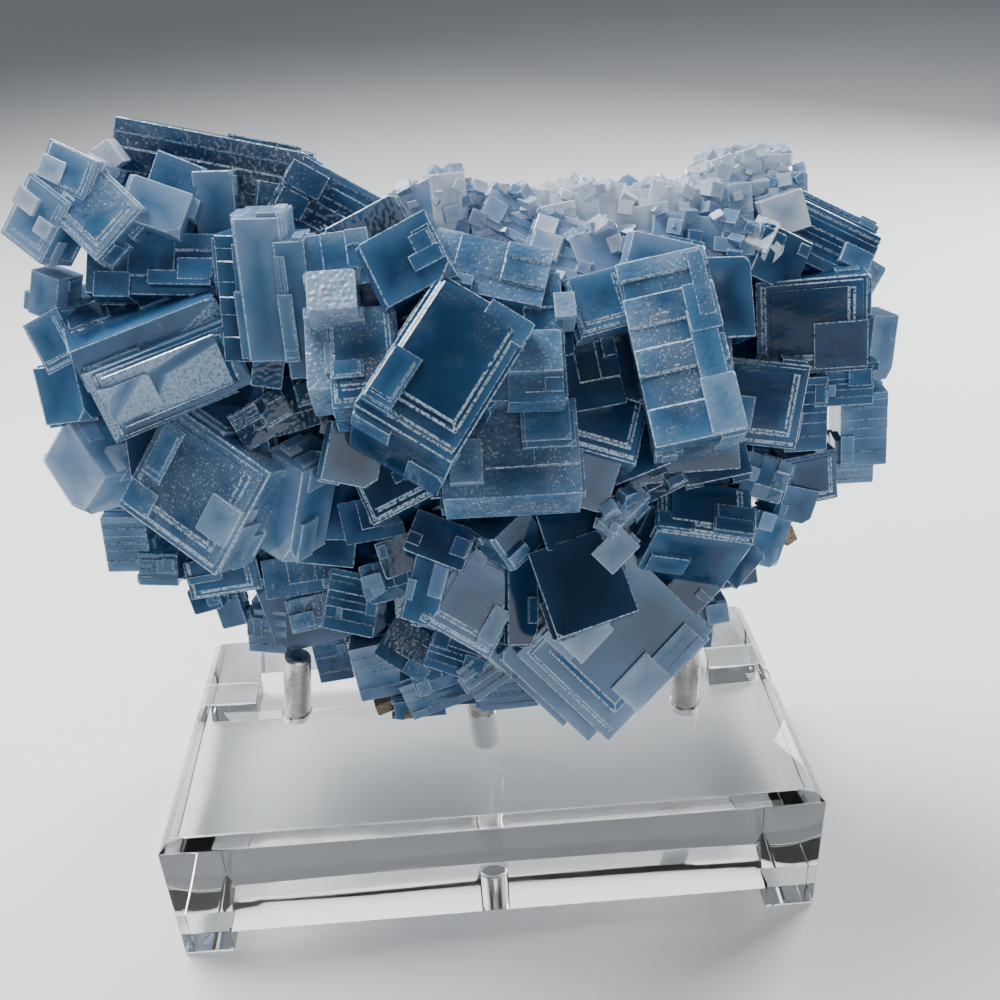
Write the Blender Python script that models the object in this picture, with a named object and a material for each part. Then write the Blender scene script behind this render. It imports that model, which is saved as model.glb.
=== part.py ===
"""Fluorite specimen: an intergrown cluster of blue crystals on three steel pins in a footed acrylic block."""

import math
import random
from collections import namedtuple

import bmesh
import bpy
from mathutils import Matrix, Vector

MM = 0.001
GAP = 0.3  # clearance between neighbouring pieces, mm

# Acrylic stand, mm. The stock is 30 mm thick and its chamfers are 2.5 mm.
BLOCK_WIDTH, BLOCK_DEPTH, BLOCK_THICK, BLOCK_CHAMFER = 155.0, 79.0, 30.0, 2.5
FOOT_SIDE, FOOT_HEIGHT = 12.0, 6.6
BLOCK_TOP = FOOT_HEIGHT + BLOCK_THICK

# Steel dowel pins, mm. The outer two stand in shallow seats and the centre one in a deep blind hole. A pin is
# given by where it leaves the block, the height of its tip, its lean to +x in degrees and its hole's depth.
PIN_RADIUS, PIN_CHAMFER, HOLE_CHAMFER = 3.5, 1.2, 0.5
PIN_SIDES = 32
Pin = namedtuple("Pin", "x y top lean depth")
PINS = {
    "pin_left": Pin(-49.8, 4.9, 55.0, 8.0, 4.0),
    "pin_right": Pin(51.7, -3.0, 58.2, 0.0, 4.0),
    "pin_centre": Pin(-1.1, 0.0, 44.7, 0.0, 20.0),
}

# The photograph's camera, mm and degrees over the middle of the block; pixels are of a 1000 px picture.
CAMERA_AT = Vector((-0.3, -220.4, 223.4))
CAMERA_YAW, CAMERA_PITCH, CAMERA_ROLL = -1.8, 29.47, -3.17
CAMERA_FOCAL_PX, CAMERA_CENTRE_PX = 1084.2, 500.0

# A crystal is a block with its front face's middle where the photograph shows it, in the plane y (mm).
# size: width, height and depth in mm. face: the way the front face looks, degrees right of the viewer and
# up. spin: its turn in its own plane, degrees.
Crystal = namedtuple("Crystal", "seen y size face spin")
CRYSTALS = {
    # Upper left: the long plate, its ridge and the pale crystals at the left edge.
    "top_left_plate": Crystal((203, 205), 6, (38, 28, 20), (0, 12), -14),
    "top_left_ridge": Crystal((332, 212), 3, (24, 15, 18), (5, 28), -34),
    "ridge_block": Crystal((216, 215), 0, (8, 17, 10), (0, 10), -2),
    "ridge_stub": Crystal((172, 188), 1, (10, 12, 10), (0, 20), -25),
    "far_left_plate": Crystal((33, 218), -4, (11, 14, 10), (-20, 20), -32),
    "far_left_cap": Crystal((66, 171), -2, (12, 9, 10), (-15, 25), -22),
    "frosted_diamond": Crystal((92, 208), -6, (15, 14, 12), (-10, 32), -42),
    "glow_plate": Crystal((153, 204), -5, (13, 9, 9), (5, 35), -25),
    "left_spur": Crystal((107, 156), 1, (4, 5, 6), (0, 10), 30),
    "left_edge_upper": Crystal((42, 296), -3, (7, 9, 8), (-20, 10), -15),
    "left_shelf": Crystal((150, 262), -8, (26, 12, 18), (0, 35), -5),
    "left_edge_middle": Crystal((50, 342), -9, (9, 11, 12), (-15, 15), 26),
    "left_edge_lower": Crystal((58, 395), -10, (10, 12, 12), (-12, 15), 8),
    # Left: the slab, the columns and the crystals between.
    "left_slab": Crystal((176, 383), -22, (30, 15, 40), (20, 0), 12),
    "left_slab_terrace": Crystal((152, 345), -19, (29, 9, 36), (20, 0), 12),
    "pale_column": Crystal((262, 292), -23, (9, 27, 14), (-4, 5), -1),
    "blue_column": Crystal((296, 312), -25, (6, 26, 12), (0, 5), 0),
    "column_base": Crystal((268, 370), -23, (6, 7, 8), (10, 10), -15),
    "dark_shelf": Crystal((285, 405), -18, (16, 11, 12), (0, 30), 12),
    "upper_cube": Crystal((403, 260), -27, (15, 13, 16), (-12, 29), 28),
    "upper_wedge": Crystal((370, 232), -12, (15, 9, 12), (0, 20), 24),
    "stepped_face": Crystal((364, 354), -34, (13, 20, 12), (3, 48), 0),
    "stepped_cap": Crystal((331, 289), -31, (9, 8, 12), (2, 48), 0),
    "stepped_side": Crystal((319, 352), -32, (5, 15, 12), (2, 48), 0),
    # Middle: the great cube and what grows round it.
    "great_cube": Crystal((447, 363), -42, (20, 30, 26), (12, 42), -42),
    "sparkle_slab": Crystal((510, 447), -39, (26, 19, 12), (-2, 50), 0),
    "speckled_cube": Crystal((505, 335), -31, (22, 25, 14), (2, 45), -3),
    "speckled_roof": Crystal((480, 262), -22, (26, 12, 14), (5, 50), -20),
    "square_chip": Crystal((565, 304), -28, (4, 5, 7), (0, 45), 0),
    "square_chip_low": Crystal((554, 330), -29, (4, 4, 7), (0, 45), 0),
    "grey_cube": Crystal((600, 300), -24, (11, 12, 12), (0, 40), 12),
    "dark_cube_right": Crystal((630, 360), -25, (13, 15, 12), (-5, 35), -20),
    "dark_column": Crystal((588, 362), -27, (12, 18, 12), (5, 40), 4),
    "dark_shelf_right": Crystal((608, 415), -31, (15, 16, 12), (8, 42), -24),
    "dark_ledge": Crystal((632, 452), -30, (13, 10, 10), (0, 40), 18),
    "banded_pillar": Crystal((680, 345), -34, (17, 36, 22), (-10, 38), 13),
    "pillar_cap": Crystal((662, 258), -22, (15, 8, 12), (-5, 30), -15),
    "pillar_neighbour": Crystal((720, 297), -19, (14, 16, 14), (10, 30), -5),
    # Crest: small pale crystals along the top.
    "crest_left": Crystal((425, 205), -2, (10, 9, 12), (-10, 20), 25),
    "crest_tooth": Crystal((450, 202), -3, (7, 11, 10), (10, 10), 0),
    "crest_middle": Crystal((476, 212), 1, (9, 9, 10), (0, 10), -12),
    "crest_sheaf": Crystal((532, 225), -6, (21, 9, 14), (5, 35), -35),
    "crest_slope": Crystal((562, 247), -12, (14, 13, 12), (0, 40), -22),
    "crest_white": Crystal((588, 215), -2, (14, 10, 12), (0, 25), 6),
    "crest_rim": Crystal((553, 203), 4, (20, 6, 12), (0, 20), 2),
    "crest_foot": Crystal((600, 250), -13, (10, 9, 10), (5, 30), 15),
    "white_mound": Crystal((750, 173), 9, (17, 7, 12), (0, 12), 0),
    "white_mound_right": Crystal((787, 190), 7, (9, 7, 12), (0, 12), 2),
    "white_block": Crystal((752, 167), 11, (6, 6, 8), (0, 12), 6),
    "white_block_turned": Crystal((774, 169), 11, (6, 6, 8), (0, 12), -30),
    "white_mound_left": Crystal((720, 178), 8, (8, 8, 10), (0, 12), 18),
    "white_shelf": Crystal((718, 207), 1, (15, 9, 12), (0, 30), 3),
    "white_step": Crystal((652, 208), 4, (12, 8, 12), (0, 15), 3),
    "white_step_turned": Crystal((668, 200), 3, (8, 7, 8), (0, 20), -15),
    "white_step_low": Crystal((642, 228), -3, (12, 9, 12), (0, 22), 6),
    "white_slope": Crystal((705, 238), -8, (21, 9, 12), (0, 30), -10),
    "bright_facet": Crystal((763, 232), -8, (5, 7, 8), (-10, 50), -25),
    "bright_wedge": Crystal((765, 254), -9, (8, 5, 8), (0, 20), 42),
    "pale_block": Crystal((786, 214), -3, (9, 8, 10), (0, 15), 15),
    "dark_facet_cube": Crystal((780, 258), -9, (12, 11, 12), (15, 15), -30),
    # Right side.
    "smooth_cube": Crystal((812, 328), -14, (22, 20, 18), (-12, 6), 5),
    "right_cube": Crystal((762, 405), -20, (17, 18, 14), (-8, 10), -7),
    "right_post": Crystal((806, 415), -17, (9, 16, 12), (-5, 10), 2),
    "right_edge_slab": Crystal((864, 430), -10, (10, 17, 14), (-8, 6), 4),
    "right_edge_flake": Crystal((882, 348), -6, (6, 14, 10), (5, 8), -4),
    "right_edge_step": Crystal((845, 385), -14, (12, 9, 12), (-5, 10), 2),
    "right_edge_foot": Crystal((853, 473), -10, (9, 5, 10), (-5, 8), 2),
    "right_chip": Crystal((768, 478), -22, (10, 9, 20), (10, 25), -25),
    "right_under": Crystal((812, 480), -14, (12, 12, 10), (5, 5), 6),
    "right_under_chip": Crystal((797, 505), -16, (9, 8, 10), (10, 10), -20),
    "shoulder_cube": Crystal((830, 243), -4, (20, 12, 16), (8, 30), -31),
    "shoulder_ridge": Crystal((836, 221), 0, (18, 6, 14), (5, 30), -30),
    "shoulder_end": Crystal((866, 278), -5, (6, 8, 10), (5, 20), -35),
    # Lower right: the great diamond and the crystals round it.
    "great_diamond": Crystal((616, 643), -34, (28, 33, 9), (5, 25), -50),
    "diamond_plate_2": Crystal((592, 648), -31, (28, 31, 9), (5, 25), -50),
    "diamond_plate_3": Crystal((562, 645), -28, (26, 26, 9), (5, 25), -50),
    "dark_cube": Crystal((583, 582), -42, (17, 18, 9), (-5, 40), 18),
    "dark_diamond": Crystal((707, 507), -31, (20, 13, 26), (15, 58), -22),
    "diamond_chip": Crystal((690, 590), -27, (10, 10, 22), (5, 30), -50),
    "right_low_block": Crystal((738, 560), -24, (9, 10, 12), (10, 20), -50),
    "pale_wedge": Crystal((768, 540), -19, (9, 12, 9), (15, 15), -25),
    "hanging_chip": Crystal((718, 614), -24, (5, 5, 16), (0, 10), 8),
    "white_band_bar": Crystal((625, 508), -38, (11, 4, 8), (0, 50), 42),
    "blue_chip": Crystal((616, 550), -40, (8, 6, 8), (0, 30), 42),
    "hanging_cube": Crystal((595, 480), -36, (8, 12, 9), (0, 20), -20),
    # Lower middle and left.
    "low_cube": Crystal((476, 602), -34, (17, 18, 16), (8, 30), -38),
    "low_cube_flank": Crystal((428, 575), -32, (8, 21, 12), (-15, 25), -12),
    "pyramid_corner": Crystal((520, 540), -35, (10, 9, 12), (30, 10), 25),
    "low_dark_cube": Crystal((440, 540), -32, (13, 9, 10), (0, 40), -25),
    "low_step_upper": Crystal((370, 520), -24, (13, 9, 12), (-10, 20), 12),
    "low_step_lower": Crystal((384, 582), -22, (11, 9, 24), (-15, 20), 20),
    "low_dark_post": Crystal((325, 530), -14, (14, 16, 12), (0, 20), -10),
    "low_ledge": Crystal((302, 575), -12, (18, 9, 12), (0, 25), 5),
    "low_ledge_white": Crystal((315, 612), -8, (13, 8, 10), (0, 25), 10),
    "glitter_cube": Crystal((190, 490), -27, (26, 25, 16), (-20, 22), -28),
    "corner_column": Crystal((279, 510), -23, (9, 24, 12), (-36, 5), -16),
    "left_under_slab": Crystal((222, 577), -10, (17, 9, 12), (-5, 15), 8),
    "left_under_chip": Crystal((205, 600), -6, (7, 6, 8), (0, 15), 12),
    "left_under_chip_2": Crystal((230, 612), -2, (6, 8, 8), (0, 12), 10),
    "left_under_block": Crystal((267, 632), 8, (10, 12, 20), (-8, 10), -4),
    "left_corner": Crystal((72, 466), -9, (17, 15, 15), (-38, 12), -40),
    "left_under_post": Crystal((126, 545), -4, (10, 14, 24), (0, 5), -3),
    "left_under_stub": Crystal((158, 570), -5, (9, 8, 22), (0, 10), -6),
    # Underside.
    "bottom_post": Crystal((332, 658), 9, (9, 14, 16), (0, 8), 6),
    "bottom_stack": Crystal((378, 672), 0, (12, 15, 12), (0, 10), 8),
    "bottom_sparkle_cube": Crystal((408, 648), -13, (13, 11, 12), (-5, 35), -32),
    "bottom_slab": Crystal((440, 692), -8, (18, 10, 12), (0, 10), 18),
    "bottom_block": Crystal((508, 694), -15, (14, 8, 10), (0, 15), 2),
    "bottom_crumb": Crystal((420, 709), -5, (13, 5, 8), (0, 10), 2),
    # Recesses: small crystals in the gaps between the great ones.
    "column_sliver": Crystal((232, 300), -20, (5, 24, 12), (-10, 8), -2),
    "cap_back": Crystal((335, 258), -24, (13, 10, 14), (0, 30), 4),
    "recess_left_cube": Crystal((392, 482), -29, (15, 12, 18), (-15, 35), 30),
    "recess_left_wedge": Crystal((352, 455), -27, (12, 12, 18), (10, 25), -20),
    "shelf_step": Crystal((262, 418), -21, (12, 8, 16), (5, 30), 24),
    "low_step_back": Crystal((352, 603), -18, (12, 14, 16), (-10, 25), -10),
    "low_step_between": Crystal((398, 556), -26, (8, 8, 14), (0, 30), 15),
    "under_low_cube": Crystal((458, 655), -19, (14, 10, 16), (-5, 25), -20),
    "under_low_left": Crystal((433, 674), -13, (11, 9, 14), (0, 20), 15),
    "under_low_right": Crystal((488, 672), -21, (12, 9, 16), (10, 25), 25),
    "dark_sliver": Crystal((522, 602), -34, (7, 18, 14), (15, 30), -12),
    "recess_right_cube": Crystal((570, 525), -34, (12, 8, 14), (5, 40), 10),
    "band_back": Crystal((655, 480), -29, (12, 7, 14), (0, 42), 22),
    "band_back_right": Crystal((716, 463), -27, (14, 7, 14), (0, 40), 8),
}

# Body behind the faces that the photograph shows: blocks by centre and size, mm, turned as crystals are.
Core = namedtuple("Core", "centre size face spin")
CORE_BLOCKS = (
    Core((0, 9, 134), (130, 52, 24), (0, 0), 0),
    Core((0, 8, 104), (106, 40, 24), (0, 0), 0),
    Core((8, 4, 76), (56, 38, 24), (0, 0), 0),
    Core((4, 2, 57), (36, 24, 20), (0, 0), 0),
    Core((-44, 18, 67), (22, 26, 18), (0, 10), 12),
    Core((-24, 19, 66), (22, 24, 18), (8, -12), -14),
    Core((-60, 12, 94), (30, 26, 18), (0, 0), 0),
    Core((46.5, -0.5, 67), (19, 17, 17), (4, 0), -3),
    Core((40, 9, 70), (18, 18, 20), (-8, 10), 20),
    Core((12, -8, 124), (54, 34, 32), (0, 30), 0),
    Core((42, -8, 126), (26, 34, 28), (0, 30), 0),
    Core((-54, -4, 128), (30, 38, 26), (-6, 12), 0),
    Core((22, -11, 84), (32, 40, 30), (0, 25), 0),
    Core((48, -8, 92), (24, 26, 24), (10, 25), 0),
    Core((-3, -10, 92), (22, 30, 26), (-5, 25), 0),
    Core((12, -6, 110), (54, 16, 28), (0, 30), 0),
    Core((-38, -1, 104), (34, 14, 24), (-8, 15), 0),
    Core((-14, -5, 152), (38, 16, 28), (0, 30), 0),
)

# Crystals of the unseen back and sides, grown by rule over an egg-shaped form that narrows downward.
SEED = 41
FORM_CENTRE, FORM_RADII = Vector((3, 12, 122)), Vector((78, 28, 58))
FORM_TAPER = 0.42  # share of its width that the form loses at its foot
GRAIN_SMALL, GRAIN_LARGE = 13.0, 25.0  # smallest and largest crystal of the back, mm
ROW_ANGLES = range(-72, 90, 17)  # heights of the rows over the form, degrees
ROW_STEP = 15.0  # crystal spacing along a row, mm
BACK_START, BACK_END = 78, 282  # degrees round the form, 0 looks at the viewer
CROWN_HEIGHT = 60  # rows above this go all the way round, degrees
SIGHT_SLOPE = 0.26  # nothing behind the crest stands higher than this line of sight falls
CREST_Y, CREST_HEIGHT = 6.0, 172.0  # where the line leaves the crest, mm


def axes_of(face, spin):
    """The crystal's own right, up and outward directions as the columns of a matrix."""
    azimuth, rise, turn = (math.radians(v) for v in (*face, spin))
    out = Vector((math.sin(azimuth) * math.cos(rise), -math.cos(azimuth) * math.cos(rise), math.sin(rise)))
    level = Vector((math.cos(azimuth), math.sin(azimuth), 0))
    upright = out.cross(level)
    right = level * math.cos(turn) + upright * math.sin(turn)
    return Matrix((right, out.cross(right), out)).transposed()


def camera_axes():
    yaw, pitch, roll = (math.radians(v) for v in (CAMERA_YAW, CAMERA_PITCH, CAMERA_ROLL))
    ahead = Vector((-math.sin(yaw) * math.cos(pitch), math.cos(yaw) * math.cos(pitch), -math.sin(pitch)))
    right = Vector((math.cos(yaw), math.sin(yaw), 0))
    up = right.cross(ahead)
    return (right * math.cos(roll) + up * math.sin(roll), up * math.cos(roll) - right * math.sin(roll), ahead)


def seen_at(pixel, y):
    """The point in the plane y that the photograph shows at this pixel, mm."""
    right, up, ahead = camera_axes()
    across = (pixel[0] - CAMERA_CENTRE_PX) / CAMERA_FOCAL_PX
    down = (pixel[1] - CAMERA_CENTRE_PX) / CAMERA_FOCAL_PX
    ray = ahead + right * across - up * down
    return CAMERA_AT + ray * ((y - CAMERA_AT.y) / ray.y)


def block(size, centre, axes=None):
    """A box in a bmesh of its own, mm."""
    bm = bmesh.new()
    bmesh.ops.create_cube(bm, size=1.0)
    turn = axes.to_4x4() if axes else Matrix.Identity(4)
    place = Matrix.Translation(centre) @ turn @ Matrix.Diagonal((*size, 1))
    bmesh.ops.transform(bm, matrix=place, verts=bm.verts)
    return bm


def crystal_block(crystal):
    axes = axes_of(crystal.face, crystal.spin)
    middle = seen_at(crystal.seen, crystal.y) - axes.col[2] * (crystal.size[2] / 2)
    return block(crystal.size, middle, axes)


def form_point(angle, height):
    """A point of the back's form and the way its surface looks."""
    a, h = math.radians(angle), math.radians(height)
    look = Vector((math.sin(a) * math.cos(h), -math.cos(a) * math.cos(h), math.sin(h)))
    narrow = 1 - FORM_TAPER * max(0.0, -look.z) ** 1.2
    at = Vector((look.x * FORM_RADII.x * narrow, look.y * FORM_RADII.y, look.z * FORM_RADII.z))
    return FORM_CENTRE + at, look


def back_blocks():
    """Crystals over the back and sides, each turned out from the form with a tilt of its own."""
    rng = random.Random(SEED)
    blocks = []
    for height in ROW_ANGLES:
        girth = math.cos(math.radians(height)) * (FORM_RADII.x + FORM_RADII.y) / 2
        step = math.degrees(ROW_STEP / max(girth, 12.0))
        start, end = (0, 360) if height > CROWN_HEIGHT else (BACK_START, BACK_END)
        angle = start + rng.uniform(0, step)
        while angle < end:
            at, look = form_point(angle, height + rng.uniform(-5, 5))
            rise = math.degrees(math.asin(look.z)) * 0.6
            face = (angle + rng.uniform(-28, 28), rise + rng.uniform(-18, 18))
            side = rng.uniform(GRAIN_SMALL, GRAIN_LARGE)
            size = (side, side * rng.uniform(0.6, 1.0), side * rng.uniform(0.7, 1.1))
            reach = max(size) * 0.62
            ceiling = CREST_HEIGHT - (at.y - CREST_Y) * SIGHT_SLOPE - reach
            middle = Vector((at.x, at.y, min(at.z, ceiling))) - look * (side * 0.3)
            blocks.append(block(size, middle, axes_of(face, rng.uniform(-45, 45))))
            angle += step * rng.uniform(0.85, 1.15)
    return blocks


def new_object(name, bm, colour, roughness, metallic=0.0, transmission=0.0):
    mesh = bpy.data.meshes.new(name)
    bmesh.ops.recalc_face_normals(bm, faces=bm.faces)
    bm.to_mesh(mesh)
    bm.free()
    mesh.transform(Matrix.Scale(MM, 4))
    obj = bpy.data.objects.new(name, mesh)
    bpy.context.collection.objects.link(obj)
    material = bpy.data.materials.new(name)
    material.use_nodes = True
    shader = material.node_tree.nodes["Principled BSDF"]
    shader.inputs["Base Color"].default_value = (*colour, 1)
    shader.inputs["Roughness"].default_value = roughness
    shader.inputs["Metallic"].default_value = metallic
    shader.inputs["Transmission Weight"].default_value = transmission
    mesh.materials.append(material)
    return obj


def cutter(name, bm):
    obj = new_object(name, bm, (0.5, 0.5, 0.5), 0.5)
    obj.hide_render = True
    obj.display_type = "WIRE"
    return obj


def boolean(obj, operation, other, own=False):
    change = obj.modifiers.new(other.name, "BOOLEAN")
    change.operation, change.solver, change.object = operation, "EXACT", other
    change.use_self = own


def applied(obj):
    """The object's mesh with its modifiers made real."""
    seen = obj.evaluated_get(bpy.context.evaluated_depsgraph_get())
    mesh = bpy.data.meshes.new_from_object(seen)
    obj.modifiers.clear()
    obj.data = mesh


def shells_of(bm):
    """The mesh's separate closed surfaces, each a list of faces."""
    left, shells = set(bm.faces), []
    while left:
        queue, shell = [left.pop()], []
        while queue:
            face = queue.pop()
            shell.append(face)
            near = {f for e in face.edges for f in e.link_faces} & left
            left -= near
            queue.extend(near)
        shells.append(shell)
    return shells


def volume_of(shell):
    """Signed volume, below zero for the wall of a closed hollow."""
    total = 0.0
    for face in shell:
        corners = [v.co for v in face.verts]
        total += sum(corners[0].dot(b.cross(c)) for b, c in zip(corners[1:], corners[2:]))
    return total / 6


def fill_hollows(obj):
    """Close the hollows that the crystals shut in between them, which in the stone are solid."""
    bm = bmesh.new()
    bm.from_mesh(obj.data)
    for shell in shells_of(bm):
        if volume_of(shell) < 0:
            bmesh.ops.delete(bm, geom=shell, context="FACES")
    bmesh.ops.delete(bm, geom=[v for v in bm.verts if not v.link_faces], context="VERTS")
    bm.to_mesh(obj.data)
    bm.free()


def joined(blocks):
    bm = bmesh.new()
    for part in blocks:
        mesh = bpy.data.meshes.new("part")
        part.to_mesh(mesh)
        part.free()
        bm.from_mesh(mesh)
        bpy.data.meshes.remove(mesh)
    return bm


def pin_axis(pin):
    lean = math.radians(pin.lean)
    return Vector((math.sin(lean), 0, math.cos(lean)))


def rod(radius, foot, tip, chamfer):
    """A round bar from foot to tip, mm, chamfered at both ends."""
    length = (tip - foot).length
    outline = ((radius - chamfer, 0), (radius, chamfer), (radius, length - chamfer), (radius - chamfer, length))
    turns = [2 * math.pi * i / PIN_SIDES for i in range(PIN_SIDES)]
    bm = bmesh.new()
    rings = [[bm.verts.new((r * math.cos(a), r * math.sin(a), z)) for a in turns] for r, z in outline]
    for low, high in zip(rings, rings[1:]):
        for i in range(PIN_SIDES):
            j = (i + 1) % PIN_SIDES
            bm.faces.new((low[i], low[j], high[j], high[i]))
    bm.faces.new(rings[-1])
    bm.faces.new(rings[0][::-1])
    turn = (tip - foot).to_track_quat("Z", "Y").to_matrix().to_4x4()
    bmesh.ops.transform(bm, matrix=Matrix.Translation(foot) @ turn, verts=bm.verts)
    return bm


def pin_ends(pin, below, above=0.0):
    """Foot and tip of a pin's line: how far below the block's top, and past its tip, mm."""
    axis = pin_axis(pin)
    entry = Vector((pin.x, pin.y, BLOCK_TOP))
    tip = entry + axis * ((pin.top - BLOCK_TOP) / axis.z + above)
    return entry - axis * below, tip


def make_pins():
    for name, pin in PINS.items():
        foot, tip = pin_ends(pin, pin.depth - GAP)
        new_object(name, rod(PIN_RADIUS, foot, tip, PIN_CHAMFER), (0.62, 0.6, 0.56), 0.32, metallic=1.0)


def make_block():
    bm = block((BLOCK_WIDTH, BLOCK_DEPTH, BLOCK_THICK), Vector((0, 0, FOOT_HEIGHT + BLOCK_THICK / 2)))
    rim = [e for e in bm.edges if all(v.co.z > BLOCK_TOP - 0.1 for v in e.verts)]
    bmesh.ops.bevel(bm, geom=rim, offset=BLOCK_CHAMFER, offset_type="OFFSET", segments=1, affect="EDGES")
    obj = new_object("acrylic_block", bm, (0.93, 0.96, 0.97), 0.03, transmission=1.0)
    for name, pin in PINS.items():
        foot, tip = pin_ends(pin, pin.depth, above=4.0)
        hole = rod(PIN_RADIUS + GAP, foot, tip, HOLE_CHAMFER)
        boolean(obj, "DIFFERENCE", cutter("hole_" + name, hole))
    applied(obj)


def make_feet():
    x, y = (BLOCK_WIDTH - FOOT_SIDE) / 2, (BLOCK_DEPTH - FOOT_SIDE) / 2
    height = FOOT_HEIGHT - GAP
    for row, sign_y in (("front", -1), ("back", 1)):
        for side, sign_x in (("left", -1), ("right", 1)):
            foot = block((FOOT_SIDE, FOOT_SIDE, height), Vector((sign_x * x, sign_y * y, height / 2)))
            new_object(f"foot_{row}_{side}", foot, (0.93, 0.96, 0.97), 0.03, transmission=1.0)


def make_cluster():
    """Every crystal joined in one solid, then cleared of the pins and the block."""
    blocks = [block(core.size, Vector(core.centre), axes_of(core.face, core.spin)) for core in CORE_BLOCKS]
    blocks += [crystal_block(crystal) for crystal in CRYSTALS.values()]
    blocks += back_blocks()
    first = new_object("fluorite_cluster", blocks.pop(0), (0.2, 0.36, 0.6), 0.18, transmission=0.5)
    rest = cutter("all_crystals", joined(blocks))
    boolean(first, "UNION", rest, own=True)
    applied(first)
    fill_hollows(first)
    for name, pin in PINS.items():
        foot, tip = pin_ends(pin, 2.0, above=GAP)
        room = rod(PIN_RADIUS + GAP, foot, tip, PIN_CHAMFER)
        boolean(first, "DIFFERENCE", cutter("clear_" + name, room))
    under = block((400, 400, 40), Vector((0, 0, BLOCK_TOP + GAP - 20)))
    boolean(first, "DIFFERENCE", cutter("clear_block", under))
    applied(first)


def centre_on_floor():
    """Move everything so that the whole stands on z = 0 over the middle of its own outline."""
    shown = [o for o in bpy.data.objects if o.type == "MESH" and not o.hide_render]
    corners = [v.co for o in shown for v in o.data.vertices]
    low = [min(c[i] for c in corners) for i in range(3)]
    high = [max(c[i] for c in corners) for i in range(3)]
    shift = Vector((-(low[0] + high[0]) / 2, -(low[1] + high[1]) / 2, -low[2]))
    for obj in shown:
        obj.data.transform(Matrix.Translation(shift))


def main():
    for obj in list(bpy.data.objects):
        bpy.data.objects.remove(obj, do_unlink=True)
    make_block()
    make_feet()
    make_pins()
    make_cluster()
    centre_on_floor()
    for obj in [o for o in bpy.data.objects if o.hide_render]:
        bpy.data.objects.remove(obj, do_unlink=True)


main()
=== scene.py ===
"""Visual model of a blue fluorite cluster on steel pins in a clear acrylic block, laid out as an add-on."""

import math
import random
from collections import namedtuple

import bmesh
import bpy
from bpy.props import FloatProperty, FloatVectorProperty, PointerProperty
from mathutils import Euler, Matrix, Vector


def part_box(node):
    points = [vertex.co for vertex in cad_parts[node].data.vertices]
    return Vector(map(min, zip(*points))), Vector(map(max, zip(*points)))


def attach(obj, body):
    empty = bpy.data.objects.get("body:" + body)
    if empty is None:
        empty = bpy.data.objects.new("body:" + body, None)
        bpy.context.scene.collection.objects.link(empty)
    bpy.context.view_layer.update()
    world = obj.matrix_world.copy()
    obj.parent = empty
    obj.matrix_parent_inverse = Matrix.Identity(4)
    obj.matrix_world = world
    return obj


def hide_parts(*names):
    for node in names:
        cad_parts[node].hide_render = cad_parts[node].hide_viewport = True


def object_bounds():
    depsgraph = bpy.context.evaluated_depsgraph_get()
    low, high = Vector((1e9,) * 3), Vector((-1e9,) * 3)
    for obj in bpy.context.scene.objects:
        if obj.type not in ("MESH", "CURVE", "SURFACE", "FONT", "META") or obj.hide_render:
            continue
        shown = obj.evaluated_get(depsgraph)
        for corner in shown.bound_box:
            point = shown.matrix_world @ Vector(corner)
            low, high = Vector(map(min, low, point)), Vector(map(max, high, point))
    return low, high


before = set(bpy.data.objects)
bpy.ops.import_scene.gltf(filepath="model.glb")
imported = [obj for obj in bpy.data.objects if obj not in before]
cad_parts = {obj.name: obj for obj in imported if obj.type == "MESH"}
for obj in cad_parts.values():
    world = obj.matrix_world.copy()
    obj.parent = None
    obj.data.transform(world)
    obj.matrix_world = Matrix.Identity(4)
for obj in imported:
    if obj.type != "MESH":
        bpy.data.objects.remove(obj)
CAD_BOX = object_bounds()

bl_info = {
    "name": "Fluorite specimen",
    "version": (1, 0, 0),
    "blender": (4, 5, 0),
    "location": "3D View > Sidebar > Fluorite",
    "description": "Builds a blue fluorite cluster with its acrylic stand and the studio it is shown in",
    "category": "Object",
}

MM = 0.001
BLOCK_LOW, BLOCK_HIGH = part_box("acrylic_block")
BLOCK_TOP = BLOCK_HIGH.z / MM
STAND = Vector(((BLOCK_LOW.x + BLOCK_HIGH.x) / 2, (BLOCK_LOW.y + BLOCK_HIGH.y) / 2, 0))  # middle of the block
CLEARANCE = 0.3  # between the stone and what carries it, mm

# The photograph's camera, in millimetres and degrees over the middle of the block. Its pixels are those of a
# picture 1000 px wide.
CAMERA_AT = Vector((-0.3, -220.4, 223.4))
CAMERA_YAW, CAMERA_PITCH, CAMERA_ROLL = -1.8, 29.47, -3.17
CAMERA_FOCAL_PX, CAMERA_CENTRE_PX, PICTURE_PX = 1084.2, 500.0, 1000.0

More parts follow.
